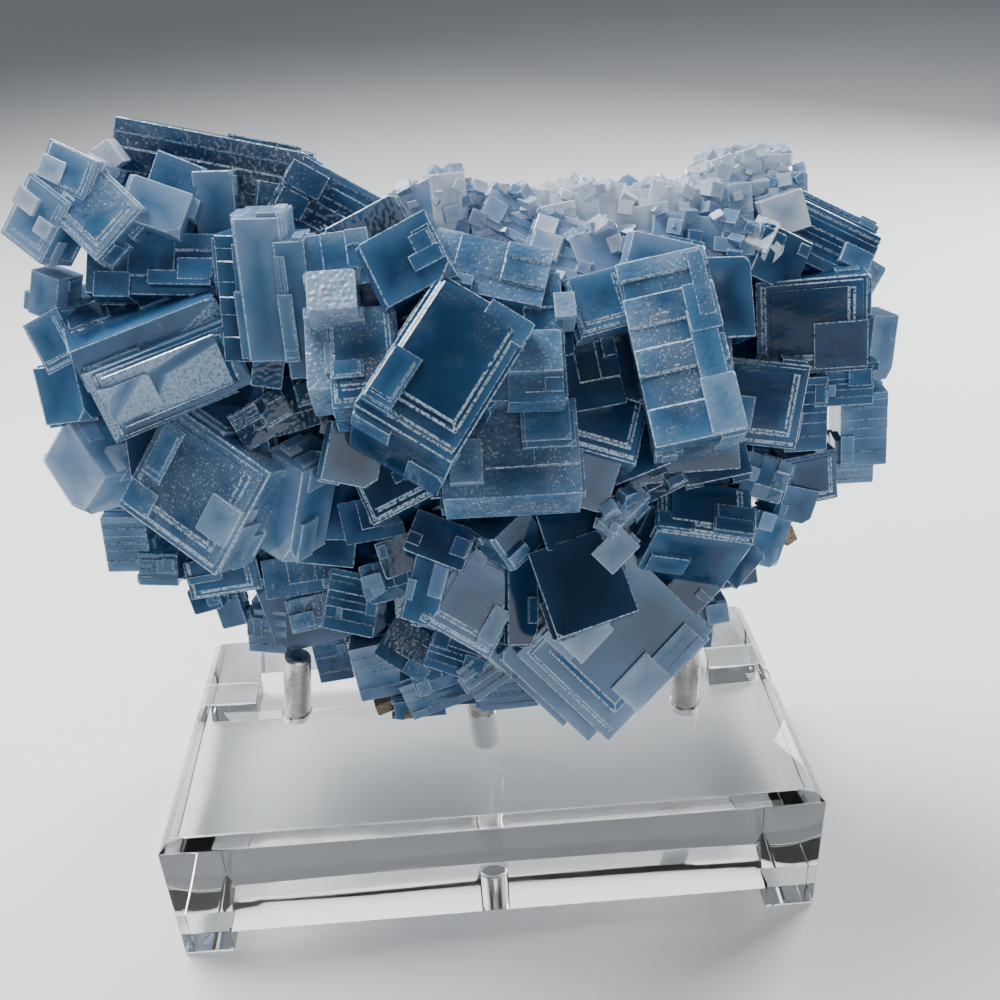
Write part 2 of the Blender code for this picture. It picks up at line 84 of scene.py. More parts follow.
# A crystal is a block with its front face's middle where the photograph shows it, in the plane y (mm).
# size: width, height and depth in mm. face: the way the front face looks, degrees right of the viewer and
# up. spin: its turn in its own plane, degrees. tone: 0 deep navy to 1 white. sparkle: 0 smooth to 1 rough,
# with painted white glints. habit: which of the modelled crystal shapes it takes.
Crystal = namedtuple("Crystal", "seen y size face spin tone sparkle habit")
CRYSTAL_ROWS = {
    # Upper left: the long plate, its ridge and the pale crystals at the left edge.
    "top_left_plate": ((203, 205), 6, (38, 28, 20), (0, 12), -14, 0.25, 0.5, "layered"),
    "top_left_ridge": ((332, 212), 3, (24, 15, 18), (5, 28), -34, 0.3, 0.3, "layered"),
    "ridge_block": ((216, 215), 0, (8, 17, 10), (0, 10), -2, 0.5, 0.2, "plain"),
    "ridge_stub": ((172, 188), 1, (10, 12, 10), (0, 20), -25, 0.45, 0.2, "plain"),
    "far_left_plate": ((33, 218), -4, (11, 14, 10), (-20, 20), -32, 0.75, 0, "terraced"),
    "far_left_cap": ((66, 171), -2, (12, 9, 10), (-15, 25), -22, 0.7, 0.1, "terraced"),
    "frosted_diamond": ((92, 208), -6, (15, 14, 12), (-10, 32), -42, 0.6, 0.6, "terraced"),
    "glow_plate": ((153, 204), -5, (13, 9, 9), (5, 35), -25, 0.55, 0.1, "clipped"),
    "left_spur": ((107, 156), 1, (4, 5, 6), (0, 10), 30, 0.85, 0.2, "plain"),
    "left_edge_upper": ((42, 296), -3, (7, 9, 8), (-20, 10), -15, 0.6, 0.1, "clipped"),
    "left_shelf": ((150, 262), -8, (26, 12, 18), (0, 35), -5, 0.35, 0.2, "stepped"),
    "left_edge_middle": ((50, 342), -9, (9, 11, 12), (-15, 15), 26, 0.5, 0.1, "terraced"),
    "left_edge_lower": ((58, 395), -10, (10, 12, 12), (-12, 15), 8, 0.5, 0.1, "clipped"),
    # Left: the slab, the columns and the crystals between.
    "left_slab": ((176, 383), -22, (30, 15, 40), (20, 0), 12, 0.45, 0.05, "terraced"),
    "left_slab_terrace": ((152, 345), -19, (29, 9, 36), (20, 0), 12, 0.3, 0.2, "plain"),
    "pale_column": ((262, 292), -23, (9, 27, 14), (-4, 5), -1, 0.5, 0.0, "clipped"),
    "blue_column": ((296, 312), -25, (6, 26, 12), (0, 5), 0, 0.45, 0.05, "clipped"),
    "column_base": ((268, 370), -23, (6, 7, 8), (10, 10), -15, 0.35, 0.1, "plain"),
    "dark_shelf": ((285, 405), -18, (16, 11, 12), (0, 30), 12, 0.15, 0.35, "stepped"),
    "upper_cube": ((403, 260), -27, (15, 13, 16), (-12, 29), 28, 0.3, 0.1, "clipped"),
    "upper_wedge": ((370, 232), -12, (15, 9, 12), (0, 20), 24, 0.2, 0.2, "plain"),
    "stepped_face": ((364, 354), -34, (13, 20, 12), (3, 48), 0, 0.35, 0.55, "terraced"),
    "stepped_cap": ((331, 289), -31, (9, 8, 12), (2, 48), 0, 0.5, 0.8, "plain"),
    "stepped_side": ((319, 352), -32, (5, 15, 12), (2, 48), 0, 0.4, 0.6, "plain"),
    # Middle: the great cube and what grows round it.
    "great_cube": ((447, 363), -42, (20, 30, 26), (12, 42), -42, 0.33, 0.15, "terraced"),
    "sparkle_slab": ((510, 447), -39, (26, 19, 12), (-2, 50), 0, 0.38, 0.55, "stepped"),
    "speckled_cube": ((505, 335), -31, (22, 25, 14), (2, 45), -3, 0.33, 0.5, "stepped"),
    "speckled_roof": ((480, 262), -22, (26, 12, 14), (5, 50), -20, 0.4, 0.5, "stepped"),
    "square_chip": ((565, 304), -28, (4, 5, 7), (0, 45), 0, 0.6, 0.6, "plain"),
    "square_chip_low": ((554, 330), -29, (4, 4, 7), (0, 45), 0, 0.4, 0.3, "plain"),
    "grey_cube": ((600, 300), -24, (11, 12, 12), (0, 40), 12, 0.42, 0.2, "terraced"),
    "dark_cube_right": ((630, 360), -25, (13, 15, 12), (-5, 35), -20, 0.15, 0.1, "clipped"),
    "dark_column": ((588, 362), -27, (12, 18, 12), (5, 40), 4, 0.15, 0.1, "stepped"),
    "dark_shelf_right": ((608, 415), -31, (15, 16, 12), (8, 42), -24, 0.25, 0.1, "terraced"),
    "dark_ledge": ((632, 452), -30, (13, 10, 10), (0, 40), 18, 0.2, 0.2, "plain"),
    "banded_pillar": ((680, 345), -34, (17, 36, 22), (-10, 38), 13, 0.4, 0.5, "layered"),
    "pillar_cap": ((662, 258), -22, (15, 8, 12), (-5, 30), -15, 0.45, 0.1, "clipped"),
    "pillar_neighbour": ((720, 297), -19, (14, 16, 14), (10, 30), -5, 0.3, 0, "plain"),
    # Crest: small pale crystals along the top, their white partly their own colour and partly painted light
    # falling on them from above and behind.
    "crest_left": ((425, 205), -2, (10, 9, 12), (-10, 20), 25, 0.75, 0, "clipped"),
    "crest_tooth": ((450, 202), -3, (7, 11, 10), (10, 10), 0, 0.8, 0.1, "clipped"),
    "crest_middle": ((476, 212), 1, (9, 9, 10), (0, 10), -12, 0.65, 0, "plain"),
    "crest_sheaf": ((532, 225), -6, (21, 9, 14), (5, 35), -35, 0.75, 0.1, "layered"),
    "crest_slope": ((562, 247), -12, (14, 13, 12), (0, 40), -22, 0.68, 0, "layered"),
    "crest_white": ((588, 215), -2, (14, 10, 12), (0, 25), 6, 0.85, 0.2, "stepped"),
    "crest_rim": ((553, 203), 4, (20, 6, 12), (0, 20), 2, 0.95, 0.5, "stepped"),
    "crest_foot": ((600, 250), -13, (10, 9, 10), (5, 30), 15, 0.65, 0.1, "plain"),
    "white_mound": ((750, 173), 9, (17, 7, 12), (0, 12), 0, 0.85, 0.3, "stepped"),
    "white_mound_right": ((787, 190), 7, (9, 7, 12), (0, 12), 2, 0.8, 0.2, "plain"),
    "white_block": ((752, 167), 11, (6, 6, 8), (0, 12), 6, 0.9, 0.4, "clipped"),
    "white_block_turned": ((774, 169), 11, (6, 6, 8), (0, 12), -30, 0.9, 0.4, "plain"),
    "white_mound_left": ((720, 178), 8, (8, 8, 10), (0, 12), 18, 0.9, 0.4, "plain"),
    "white_shelf": ((718, 207), 1, (15, 9, 12), (0, 30), 3, 0.75, 0.3, "stepped"),
    "white_step": ((652, 208), 4, (12, 8, 12), (0, 15), 3, 0.85, 0.3, "stepped"),
    "white_step_turned": ((668, 200), 3, (8, 7, 8), (0, 20), -15, 0.85, 0.2, "plain"),
    "white_step_low": ((642, 228), -3, (12, 9, 12), (0, 22), 6, 0.75, 0.2, "clipped"),
    "white_slope": ((705, 238), -8, (21, 9, 12), (0, 30), -10, 0.5, 0.1, "stepped"),
    "bright_facet": ((763, 232), -8, (5, 7, 8), (-10, 50), -25, 1, 1, "plain"),
    "bright_wedge": ((765, 254), -9, (8, 5, 8), (0, 20), 42, 0.7, 0.1, "clipped"),
    "pale_block": ((786, 214), -3, (9, 8, 10), (0, 15), 15, 0.75, 0.1, "plain"),
    "dark_facet_cube": ((780, 258), -9, (12, 11, 12), (15, 15), -30, 0.3, 0.1, "clipped"),
    # Right side.
    "smooth_cube": ((812, 328), -14, (22, 20, 18), (-12, 6), 5, 0.2, 0.05, "terraced"),
    "right_cube": ((762, 405), -20, (17, 18, 14), (-8, 10), -7, 0.3, 0.05, "terraced"),
    "right_post": ((806, 415), -17, (9, 16, 12), (-5, 10), 2, 0.35, 0, "layered"),
    "right_edge_slab": ((864, 430), -10, (10, 17, 14), (-8, 6), 4, 0.5, 0, "layered"),
    "right_edge_flake": ((882, 348), -6, (6, 14, 10), (5, 8), -4, 0.7, 0, "clipped"),
    "right_edge_step": ((845, 385), -14, (12, 9, 12), (-5, 10), 2, 0.4, 0.05, "layered"),
    "right_edge_foot": ((853, 473), -10, (9, 5, 10), (-5, 8), 2, 0.6, 0, "layered"),
    "right_chip": ((768, 478), -22, (10, 9, 20), (10, 25), -25, 0.45, 0.1, "stepped"),
    "right_under": ((812, 480), -14, (12, 12, 10), (5, 5), 6, 0.25, 0, "terraced"),
    "right_under_chip": ((797, 505), -16, (9, 8, 10), (10, 10), -20, 0.35, 0, "clipped"),
    "shoulder_cube": ((830, 243), -4, (20, 12, 16), (8, 30), -31, 0.3, 0.1, "layered"),
    "shoulder_ridge": ((836, 221), 0, (18, 6, 14), (5, 30), -30, 0.3, 0.1, "layered"),
    "shoulder_end": ((866, 278), -5, (6, 8, 10), (5, 20), -35, 0.65, 0.2, "plain"),
    # Lower right: the great diamond and the crystals round it.
    "great_diamond": ((616, 643), -34, (28, 33, 9), (5, 25), -50, 0.58, 0, "terraced"),
    "diamond_plate_2": ((592, 648), -31, (28, 31, 9), (5, 25), -50, 0.5, 0.1, "plain"),
    "diamond_plate_3": ((562, 645), -28, (26, 26, 9), (5, 25), -50, 0.45, 0.2, "layered"),
    "dark_cube": ((583, 582), -42, (17, 18, 9), (-5, 40), 18, 0.08, 0, "plain"),
    "dark_diamond": ((707, 507), -31, (20, 13, 26), (15, 58), -22, 0.35, 0.05, "terraced"),
    "diamond_chip": ((690, 590), -27, (10, 10, 22), (5, 30), -50, 0.4, 0.05, "clipped"),
    "right_low_block": ((738, 560), -24, (9, 10, 12), (10, 20), -50, 0.42, 0, "plain"),
    "pale_wedge": ((768, 540), -19, (9, 12, 9), (15, 15), -25, 0.6, 0, "clipped"),
    "hanging_chip": ((718, 614), -24, (5, 5, 16), (0, 10), 8, 0.5, 0.1, "plain"),
    "white_band_bar": ((625, 508), -38, (11, 4, 8), (0, 50), 42, 0.5, 0.9, "plain"),
    "blue_chip": ((616, 550), -40, (8, 6, 8), (0, 30), 42, 0.45, 0.1, "plain"),
    "hanging_cube": ((595, 480), -36, (8, 12, 9), (0, 20), -20, 0.2, 0.05, "clipped"),
    # Lower middle and left.
    "low_cube": ((476, 602), -34, (17, 18, 16), (8, 30), -38, 0.4, 0.25, "terraced"),
    "low_cube_flank": ((428, 575), -32, (8, 21, 12), (-15, 25), -12, 0.45, 0.05, "clipped"),
    "pyramid_corner": ((520, 540), -35, (10, 9, 12), (30, 10), 25, 0.25, 0.05, "clipped"),
    "low_dark_cube": ((440, 540), -32, (13, 9, 10), (0, 40), -25, 0.12, 0.15, "plain"),
    "low_step_upper": ((370, 520), -24, (13, 9, 12), (-10, 20), 12, 0.25, 0.05, "stepped"),
    "low_step_lower": ((384, 582), -22, (11, 9, 24), (-15, 20), 20, 0.4, 0.1, "stepped"),
    "low_dark_post": ((325, 530), -14, (14, 16, 12), (0, 20), -10, 0.1, 0.05, "plain"),
    "low_ledge": ((302, 575), -12, (18, 9, 12), (0, 25), 5, 0.3, 0.3, "stepped"),
    "low_ledge_white": ((315, 612), -8, (13, 8, 10), (0, 25), 10, 0.5, 0.6, "stepped"),
    "glitter_cube": ((190, 490), -27, (26, 25, 16), (-20, 22), -28, 0.48, 0.5, "terraced"),
    "corner_column": ((279, 510), -23, (9, 24, 12), (-36, 5), -16, 0.5, 0.05, "clipped"),
    "left_under_slab": ((222, 577), -10, (17, 9, 12), (-5, 15), 8, 0.33, 0.1, "terraced"),
    "left_under_chip": ((205, 600), -6, (7, 6, 8), (0, 15), 12, 0.3, 0.05, "plain"),
    "left_under_chip_2": ((230, 612), -2, (6, 8, 8), (0, 12), 10, 0.3, 0.05, "plain"),
    "left_under_block": ((267, 632), 8, (10, 12, 20), (-8, 10), -4, 0.45, 0.1, "layered"),
    "left_corner": ((72, 466), -9, (17, 15, 15), (-38, 12), -40, 0.72, 0, "clipped"),
    "left_under_post": ((126, 545), -4, (10, 14, 24), (0, 5), -3, 0.5, 0.1, "layered"),
    "left_under_stub": ((158, 570), -5, (9, 8, 22), (0, 10), -6, 0.5, 0.1, "layered"),
    # Underside.
    "bottom_post": ((332, 658), 9, (9, 14, 16), (0, 8), 6, 0.45, 0.1, "layered"),
    "bottom_stack": ((378, 672), 0, (12, 15, 12), (0, 10), 8, 0.5, 0.1, "layered"),
    "bottom_sparkle_cube": ((408, 648), -13, (13, 11, 12), (-5, 35), -32, 0.2, 0.45, "stepped"),
    "bottom_slab": ((440, 692), -8, (18, 10, 12), (0, 10), 18, 0.45, 0.1, "layered"),
    "bottom_block": ((508, 694), -15, (14, 8, 10), (0, 15), 2, 0.45, 0.1, "layered"),
    "bottom_crumb": ((420, 709), -5, (13, 5, 8), (0, 10), 2, 0.4, 0.1, "plain"),
    "matrix_bit": ((386, 708), -2, (5, 3, 5), (10, 10), 12, -1, 0.5, "clipped"),
    "matrix_bit_right": ((405, 713), -5, (4, 3, 4), (-20, 20), 30, -1, 0.5, "clipped"),
    "matrix_bit_side": ((790, 536), -17, (3, 4, 4), (20, 10), 20, -1, 0.5, "plain"),
    # Recesses: small crystals in the gaps between the great ones.
    "column_sliver": ((232, 300), -20, (5, 24, 12), (-10, 8), -2, 0.25, 0, "layered"),
    "cap_back": ((335, 258), -24, (13, 10, 14), (0, 30), 4, 0.45, 0.3, "stepped"),
    "recess_left_cube": ((392, 482), -29, (15, 12, 18), (-15, 35), 30, 0.15, 0.05, "terraced"),
    "recess_left_wedge": ((352, 455), -27, (12, 12, 18), (10, 25), -20, 0.2, 0.05, "clipped"),
    "shelf_step": ((262, 418), -21, (12, 8, 16), (5, 30), 24, 0.2, 0.2, "stepped"),
    "low_step_back": ((352, 603), -18, (12, 14, 16), (-10, 25), -10, 0.2, 0.05, "layered"),
    "low_step_between": ((398, 556), -26, (8, 8, 14), (0, 30), 15, 0.25, 0.05, "plain"),
    "under_low_cube": ((458, 655), -19, (14, 10, 16), (-5, 25), -20, 0.3, 0.1, "layered"),
    "under_low_left": ((433, 674), -13, (11, 9, 14), (0, 20), 15, 0.4, 0.1, "stepped"),
    "under_low_right": ((488, 672), -21, (12, 9, 16), (10, 25), 25, 0.35, 0.05, "layered"),
    "dark_sliver": ((522, 602), -34, (7, 18, 14), (15, 30), -12, 0.12, 0, "clipped"),
    "recess_right_cube": ((570, 525), -34, (12, 8, 14), (5, 40), 10, 0.15, 0.05, "plain"),
    "band_back": ((655, 480), -29, (12, 7, 14), (0, 42), 22, 0.3, 0.2, "stepped"),
    "band_back_right": ((716, 463), -27, (14, 7, 14), (0, 40), 8, 0.25, 0.1, "plain"),
}
CRYSTALS = {name: Crystal(*row) for name, row in CRYSTAL_ROWS.items()}

# Body behind the faces that the photograph shows: blocks by centre and size in mm, turned as crystals are.
Core = namedtuple("Core", "centre size face spin")
CORE_BLOCKS = (
    Core((0, 9, 134), (130, 52, 24), (0, 0), 0),
    Core((0, 8, 104), (106, 40, 24), (0, 0), 0),
    Core((8, 4, 76), (56, 38, 24), (0, 0), 0),
    Core((4, 2, 57), (36, 24, 20), (0, 0), 0),
    Core((-44, 18, 67), (22, 26, 18), (0, 10), 12),
    Core((-24, 19, 66), (22, 24, 18), (8, -12), -14),
    Core((-60, 12, 94), (30, 26, 18), (0, 0), 0),
    Core((46.5, -0.5, 67), (19, 17, 17), (4, 0), -3),
    Core((40, 9, 70), (18, 18, 20), (-8, 10), 20),
    Core((12, -8, 124), (54, 34, 32), (0, 30), 0),
    Core((42, -8, 126), (26, 34, 28), (0, 30), 0),
    Core((-54, -4, 128), (30, 38, 26), (-6, 12), 0),
    Core((22, -11, 84), (32, 40, 30), (0, 25), 0),
    Core((48, -8, 92), (24, 26, 24), (10, 25), 0),
    Core((-3, -10, 92), (22, 30, 26), (-5, 25), 0),
    Core((12, -6, 110), (54, 16, 28), (0, 30), 0),
    Core((-38, -1, 104), (34, 14, 24), (-8, 15), 0),
    Core((-14, -5, 152), (38, 16, 28), (0, 30), 0),
)
CORE_LOOKS = (0.25, 0, "plain")  # their tone, sparkle and habit

# Crystals of the unseen back and sides, grown by rule over an egg-shaped form that narrows downward, in
# millimetres and degrees.
SEED = 41
FORM_CENTRE, FORM_RADII = Vector((3, 12, 122)), Vector((78, 28, 58))
FORM_TAPER, TAPER_POWER = 0.42, 1.2
GRAIN_SMALL, GRAIN_LARGE = 13.0, 25.0
ROW_ANGLES = range(-72, 90, 17)
ROW_STEP, LEAST_GIRTH = 15.0, 12.0
BACK_START, BACK_END = 78, 282
CROWN_HEIGHT = 60
ROW_WANDER, TURN_WANDER, RISE_WANDER, SPIN_WANDER = 5, 28, 18, 45
SIGHT_SLOPE = 0.26
CREST_Y, CREST_HEIGHT = 6.0, 172.0
HABITS = ("terraced", "stepped", "layered", "clipped", "plain")

# Side crystals: the size a crystal has to have to carry them, their sides as shares of its own, how far their
# tone may lie from its own, and for the back's crystals how many each mm carries and how far they stand out.
LEAST_PARENT = 8
SIDE_SIZES, SIDE_TONES = (0.18, 0.5), (-0.1, 0.16)
BACK_SIDE_SHARE, BACK_SIDE_RISE = 0.12, 1.0
SIDE_HABITS = ("plain",) * 10 + ("clipped",) * 5 + ("terraced",) * 2 + ("stepped",) * 2 + ("layered",)

# The druse of small pale crystals over the crest: crystals for each square mm, their sides in mm, and how far
# each is turned, in radians.
DRUSE_SHARE, DRUSE_SMALL, DRUSE_LARGE, DRUSE_TURN = 0.07, 1.3, 3.4, 0.6

# A crystal's worn edges: their width as a share of its smallest side, the most in mm, and the angle in
# radians from which an edge is worn.
WORN_SHARE, WORN_LARGEST, SHARP = 0.022, 0.28, 0.3
GRAIN_MAPS = ("grain_across", "grain_along")  # UV maps: a crystal's own x and y, and its z and a chance value
Grain = namedtuple("Grain", "middle size axes tone sparkle habit")  # one block of the stone, mm
FACING = 0.9  # a face looks along an axis if its normal's part along it is above this
LOOSE_FACES, LOOSE_VOLUME = 40, 2e-8  # a free part larger than this many faces and cubic metres is a fault

# Steel pins: where each leaves the block over the block's middle, its tip's height, its lean to +x in
# degrees and its hole's depth, mm. The outer two stand in shallow seats.
Pin = namedtuple("Pin", "x y top lean depth")
PINS = {
    "pin_left": Pin(-49.8, 4.9, 55.0, 8.0, 4.0),
    "pin_right": Pin(51.7, -3.0, 58.2, 0.0, 4.0),
    "pin_centre": Pin(-1.1, 0.0, 44.7, 0.0, 20.0),
}
PIN_RADIUS, PIN_CHAMFER, HOLE_CHAMFER = 3.5, 1.2, 0.5
PIN_END_STEPS = 4
ROUND_SIDES = 64
HOLE_ABOVE, ROOM_BELOW = 4.0, 2.0  # how far a cutter reaches past the pin's tip, or below the block's top, mm
SLAB_SIDE, SLAB_HEIGHT = 0.4, 40.0  # what cuts the stone off above the block, m and mm
BLOCK_CHAMFER = 2.5
ARRIS = 0.25  # the softened edges of the acrylic, mm
FOOT_BOND = 2.0  # how far a foot's body reaches up into the block's, mm
FEET = ("foot_front_left", "foot_front_right", "foot_back_left", "foot_back_right")
FLAT = math.radians(0.5)  # faces that meet by less than this are one face
ARRIS_FROM, END_FROM = math.radians(30), math.radians(60)  # edges bevelled: of the acrylic, and of a bar
BLOCK_SMOOTH, PIN_SMOOTH = math.radians(20), math.radians(40)  # faces that meet by less are shaded as one

# Looks: colours in linear values, and the stone's noises in waves for each metre.
ZONES = (0.0, 0.22, 0.5, 0.76, 1.0)  # tones of the stone's five blues, navy first and white last
# The third and fourth colours of the next line are painted highlights: the white glints on rough patches and
# the pale colour along the crystals' edges and worn faces.
NAVY, FROST, GLINT, EDGE_HIGHLIGHT = (0.004, 0.028, 0.07), (0.45, 0.55, 0.66), (0.9, 0.92, 0.94), (0.6, 0.76, 0.9)
ROCK_DARK, ROCK_PALE, BLUE_THROUGH = (0.1, 0.06, 0.03), (0.42, 0.32, 0.2), (0.1, 0.42, 0.74)
CLOUDS, PATCHES, GRIT, WAVES, RUBBLE = 34.0, 110.0, 2000.0, 170.0, 1100.0
HIGHLIGHT_LINE = 0.22  # width of the painted highlight line along a crystal's edges, mm
FLUORITE_IOR, ACRYLIC_IOR = 1.434, 1.49
SURROUNDINGS = (0.75, 0.8, 0.88)
FLOOR_AT, LIGHTS_AIM = (0, 1.2, -0.0002), Vector((0, 0, 0.1))


def axes_of(face, spin):
    """The crystal's own right, up and outward directions as the columns of a matrix."""
    azimuth, rise, turn = (math.radians(v) for v in (*face, spin))
    out = Vector((math.sin(azimuth) * math.cos(rise), -math.cos(azimuth) * math.cos(rise), math.sin(rise)))
    level = Vector((math.cos(azimuth), math.sin(azimuth), 0))
    upright = out.cross(level)
    right = level * math.cos(turn) + upright * math.sin(turn)
    return Matrix((right, out.cross(right), out)).transposed()


def camera_axes():
    yaw, pitch, roll = (math.radians(v) for v in (CAMERA_YAW, CAMERA_PITCH, CAMERA_ROLL))
    ahead = Vector((-math.sin(yaw) * math.cos(pitch), math.cos(yaw) * math.cos(pitch), -math.sin(pitch)))
    right = Vector((math.cos(yaw), math.sin(yaw), 0))
    up = right.cross(ahead)
    return (right * math.cos(roll) + up * math.sin(roll), up * math.cos(roll) - right * math.sin(roll), ahead)


def seen_at(pixel, y):
    """The point in the plane y that the photograph shows at this pixel, mm."""
    right, up, ahead = camera_axes()
    across = (pixel[0] - CAMERA_CENTRE_PX) / CAMERA_FOCAL_PX
    down = (pixel[1] - CAMERA_CENTRE_PX) / CAMERA_FOCAL_PX
    ray = ahead + right * across - up * down
    return CAMERA_AT + ray * ((y - CAMERA_AT.y) / ray.y)


# Modelling helpers


def deselect_all():
    if bpy.context.object and bpy.context.object.mode != "OBJECT":
        bpy.ops.object.mode_set(mode="OBJECT")
    for obj in bpy.context.selected_objects:
        obj.select_set(False)


def make_active(obj):
    deselect_all()
    obj.select_set(True)
    bpy.context.view_layer.objects.active = obj


def add_box(name, size, at=(0, 0, 0)):
    deselect_all()
    bpy.ops.mesh.primitive_cube_add(size=1, location=at)
    obj = bpy.context.object
    obj.name = obj.data.name = name
    obj.scale = size
    bpy.ops.object.transform_apply(location=True, rotation=True, scale=True)
    return obj


def pick(obj, test, kind="FACE"):
    """Enter edit mode with only the faces or edges selected whose middle passes the test."""
    make_active(obj)
    bpy.ops.object.mode_set(mode="EDIT")
    bpy.ops.mesh.select_mode(type=kind)
    bpy.ops.mesh.select_all(action="DESELECT")
    bpy.ops.object.mode_set(mode="OBJECT")
    mesh = obj.data
    if kind == "FACE":
        for face in mesh.polygons:
            face.select = test(face.center, face.normal)
    else:
        for edge in mesh.edges:
            a, b = (mesh.vertices[i].co for i in edge.vertices)
            edge.select = test((a + b) / 2, (b - a).normalized())
    bpy.ops.object.mode_set(mode="EDIT")


def leave_edit():
    bpy.ops.object.mode_set(mode="OBJECT")


def apply_modifiers(obj):
    make_active(obj)
    for modifier in list(obj.modifiers):
        bpy.ops.object.modifier_apply(modifier=modifier.name)


def boolean(obj, operation, other):
    """Cut or join with another object and remove that object."""
    change = obj.modifiers.new("join", "BOOLEAN")
    change.operation, change.solver, change.object = operation, "EXACT", other
    apply_modifiers(obj)
    bpy.data.objects.remove(other, do_unlink=True)


# Crystal habits, each modelled once on a unit block whose outward side is +Z


def every_face(centre, normal):
    return True


def front_faces(centre, normal):
    return normal.z > FACING


def divide(obj, test, point, normal, cut_off=False):
    """Divide the picked faces along a plane, or cut off what lies beyond it."""
    pick(obj, test)
    bpy.ops.mesh.bisect(plane_co=point, plane_no=normal, use_fill=cut_off, clear_outer=cut_off)
    leave_edit()


def clip(obj, cuts):
    """Cut corners or edges back, each by its share of the way to the middle."""
    for corner, away in cuts:
        at = Vector(corner)
        divide(obj, every_face, at * (1 - away), at.normalized(), cut_off=True)
    return obj


def extrude(obj, test, by, inset=0.0):
    """Move the picked faces out or in, drawn in first where an inset is given, with walls behind them."""
    pick(obj, test)
    if inset:
        bpy.ops.mesh.inset(thickness=inset, depth=0)
    bpy.ops.mesh.extrude_region_move(TRANSFORM_OT_translate={"value": by})
    leave_edit()


def habit_plain():
    """A block with its front corners a little worn."""
    return clip(add_box("habit_plain", (1, 1, 1)), (((0.5, 0.5, 0.5), 0.06), ((-0.5, -0.5, 0.5), 0.045)))


def habit_clipped():
    """A block with one edge cut back by another crystal."""
    cuts = (((0.5, -0.5, 0.5), 0.13), ((-0.5, 0.5, 0.5), 0.07), ((-0.5, 0, 0.5), 0.08))
    return clip(add_box("habit_clipped", (1, 1, 1)), cuts)


def habit_terraced():
    """A block whose front carries two low terraces, each set off toward a corner."""
    obj = add_box("habit_terraced", (1, 1, 0.95), (0, 0, -0.025))
    first_terrace = 0.46
    extrude(obj, front_faces, (0.025, 0.02, 0.03), 0.055)
    extrude(obj, lambda c, n: front_faces(c, n) and c.z > first_terrace, (-0.05, 0.04, 0.02), 0.09)
    extrude(obj, lambda c, n: n.x > FACING, (-0.03, 0, 0), 0.09)
    return obj


def habit_layered():
    """A pile of thin plates, every other one drawn back."""
    obj = add_box("habit_layered", (1, 1, 1))
    drawn_back = ((-0.3, -0.12, 0.03), (0.02, 0.14, 0.022), (0.3, 0.4, 0.03))
    for low, high, back in drawn_back:
        for height in (low, high):
            divide(obj, every_face, (0, height, 0), (0, 1, 0))
    for low, high, back in drawn_back:
        extrude(obj, lambda c, n: low < c.y < high and front_faces(c, n), (0, 0, -back))
    return obj


def habit_stepped():
    """A block that climbs in three steps toward one corner."""
    left, right, low, high = -0.18, 0.17, -0.2, 0.22
    obj = add_box("habit_stepped", (1, 1, 0.92), (0, 0, -0.04))
    for cut in (left, right):
        divide(obj, every_face, (cut, 0, 0), (1, 0, 0))
    for cut in (low, high):
        divide(obj, front_faces, (0, cut, 0), (0, 1, 0))
    for x, y, rise in ((left, low, 0.028), (right, low, 0.022), (right, high, 0.03)):
        extrude(obj, lambda c, n: front_faces(c, n) and c.x > x and c.y > y, (0, 0, rise))
    return obj


def model_habits():
    shapes = {
        "plain": habit_plain(),
        "clipped": habit_clipped(),
        "terraced": habit_terraced(),
        "layered": habit_layered(),
        "stepped": habit_stepped(),
    }
    for obj in shapes.values():
        clean_up(obj)
    return shapes


def clean_up(obj):
    make_active(obj)
    bpy.ops.object.mode_set(mode="EDIT")
    bpy.ops.mesh.select_all(action="SELECT")
    bpy.ops.mesh.remove_doubles(threshold=1e-6)
    bpy.ops.mesh.normals_make_consistent(inside=False)
    leave_edit()


# Growing the cluster


def placed(shape, grain):
    """A copy of a habit's mesh at the grain's place, its edges worn, with its own coordinates and looks."""
    bm = bmesh.new()
    bm.from_mesh(shape.data)
    for name in GRAIN_MAPS:
        bm.loops.layers.uv.new(name)
    for name in ("look", "half_size"):
        bm.loops.layers.float_color.new(name)
    across, along = (bm.loops.layers.uv[name] for name in GRAIN_MAPS)
    look, half_size = (bm.loops.layers.float_color[name] for name in ("look", "half_size"))
    chance = (grain.middle.x * 7.3 + grain.middle.z * 3.7) % 1
    for face in bm.faces:
        for loop in face.loops:
            at = Vector([loop.vert.co[i] * grain.size[i] for i in range(3)])
            loop[across].uv = at.xy
            loop[along].uv = (at.z, chance)
            loop[look] = (grain.tone, grain.sparkle, 0, 1)
            loop[half_size] = (*(side / 2 for side in grain.size), 1)
    place = Matrix.Translation(grain.middle + STAND / MM) @ grain.axes.to_4x4()
    bm.transform(place @ Matrix.Diagonal((*grain.size, 1)))
    sharp = [edge for edge in bm.edges if edge.calc_face_angle(0) > SHARP]
    width = min(WORN_LARGEST, WORN_SHARE * min(grain.size))
    worn = bmesh.ops.bevel(bm, geom=sharp, offset=width, segments=1, affect="EDGES", clamp_overlap=True)
    # The worn faces are flagged in the look's third channel, and the material paints a highlight over them.
    for face in worn["faces"]:
        for loop in face.loops:
            loop[look] = (grain.tone, grain.sparkle, 1, 1)
    bm.transform(Matrix.Scale(MM, 4))
    mesh = bpy.data.meshes.new("crystal")
    bm.to_mesh(mesh)
    bm.free()
    return mesh


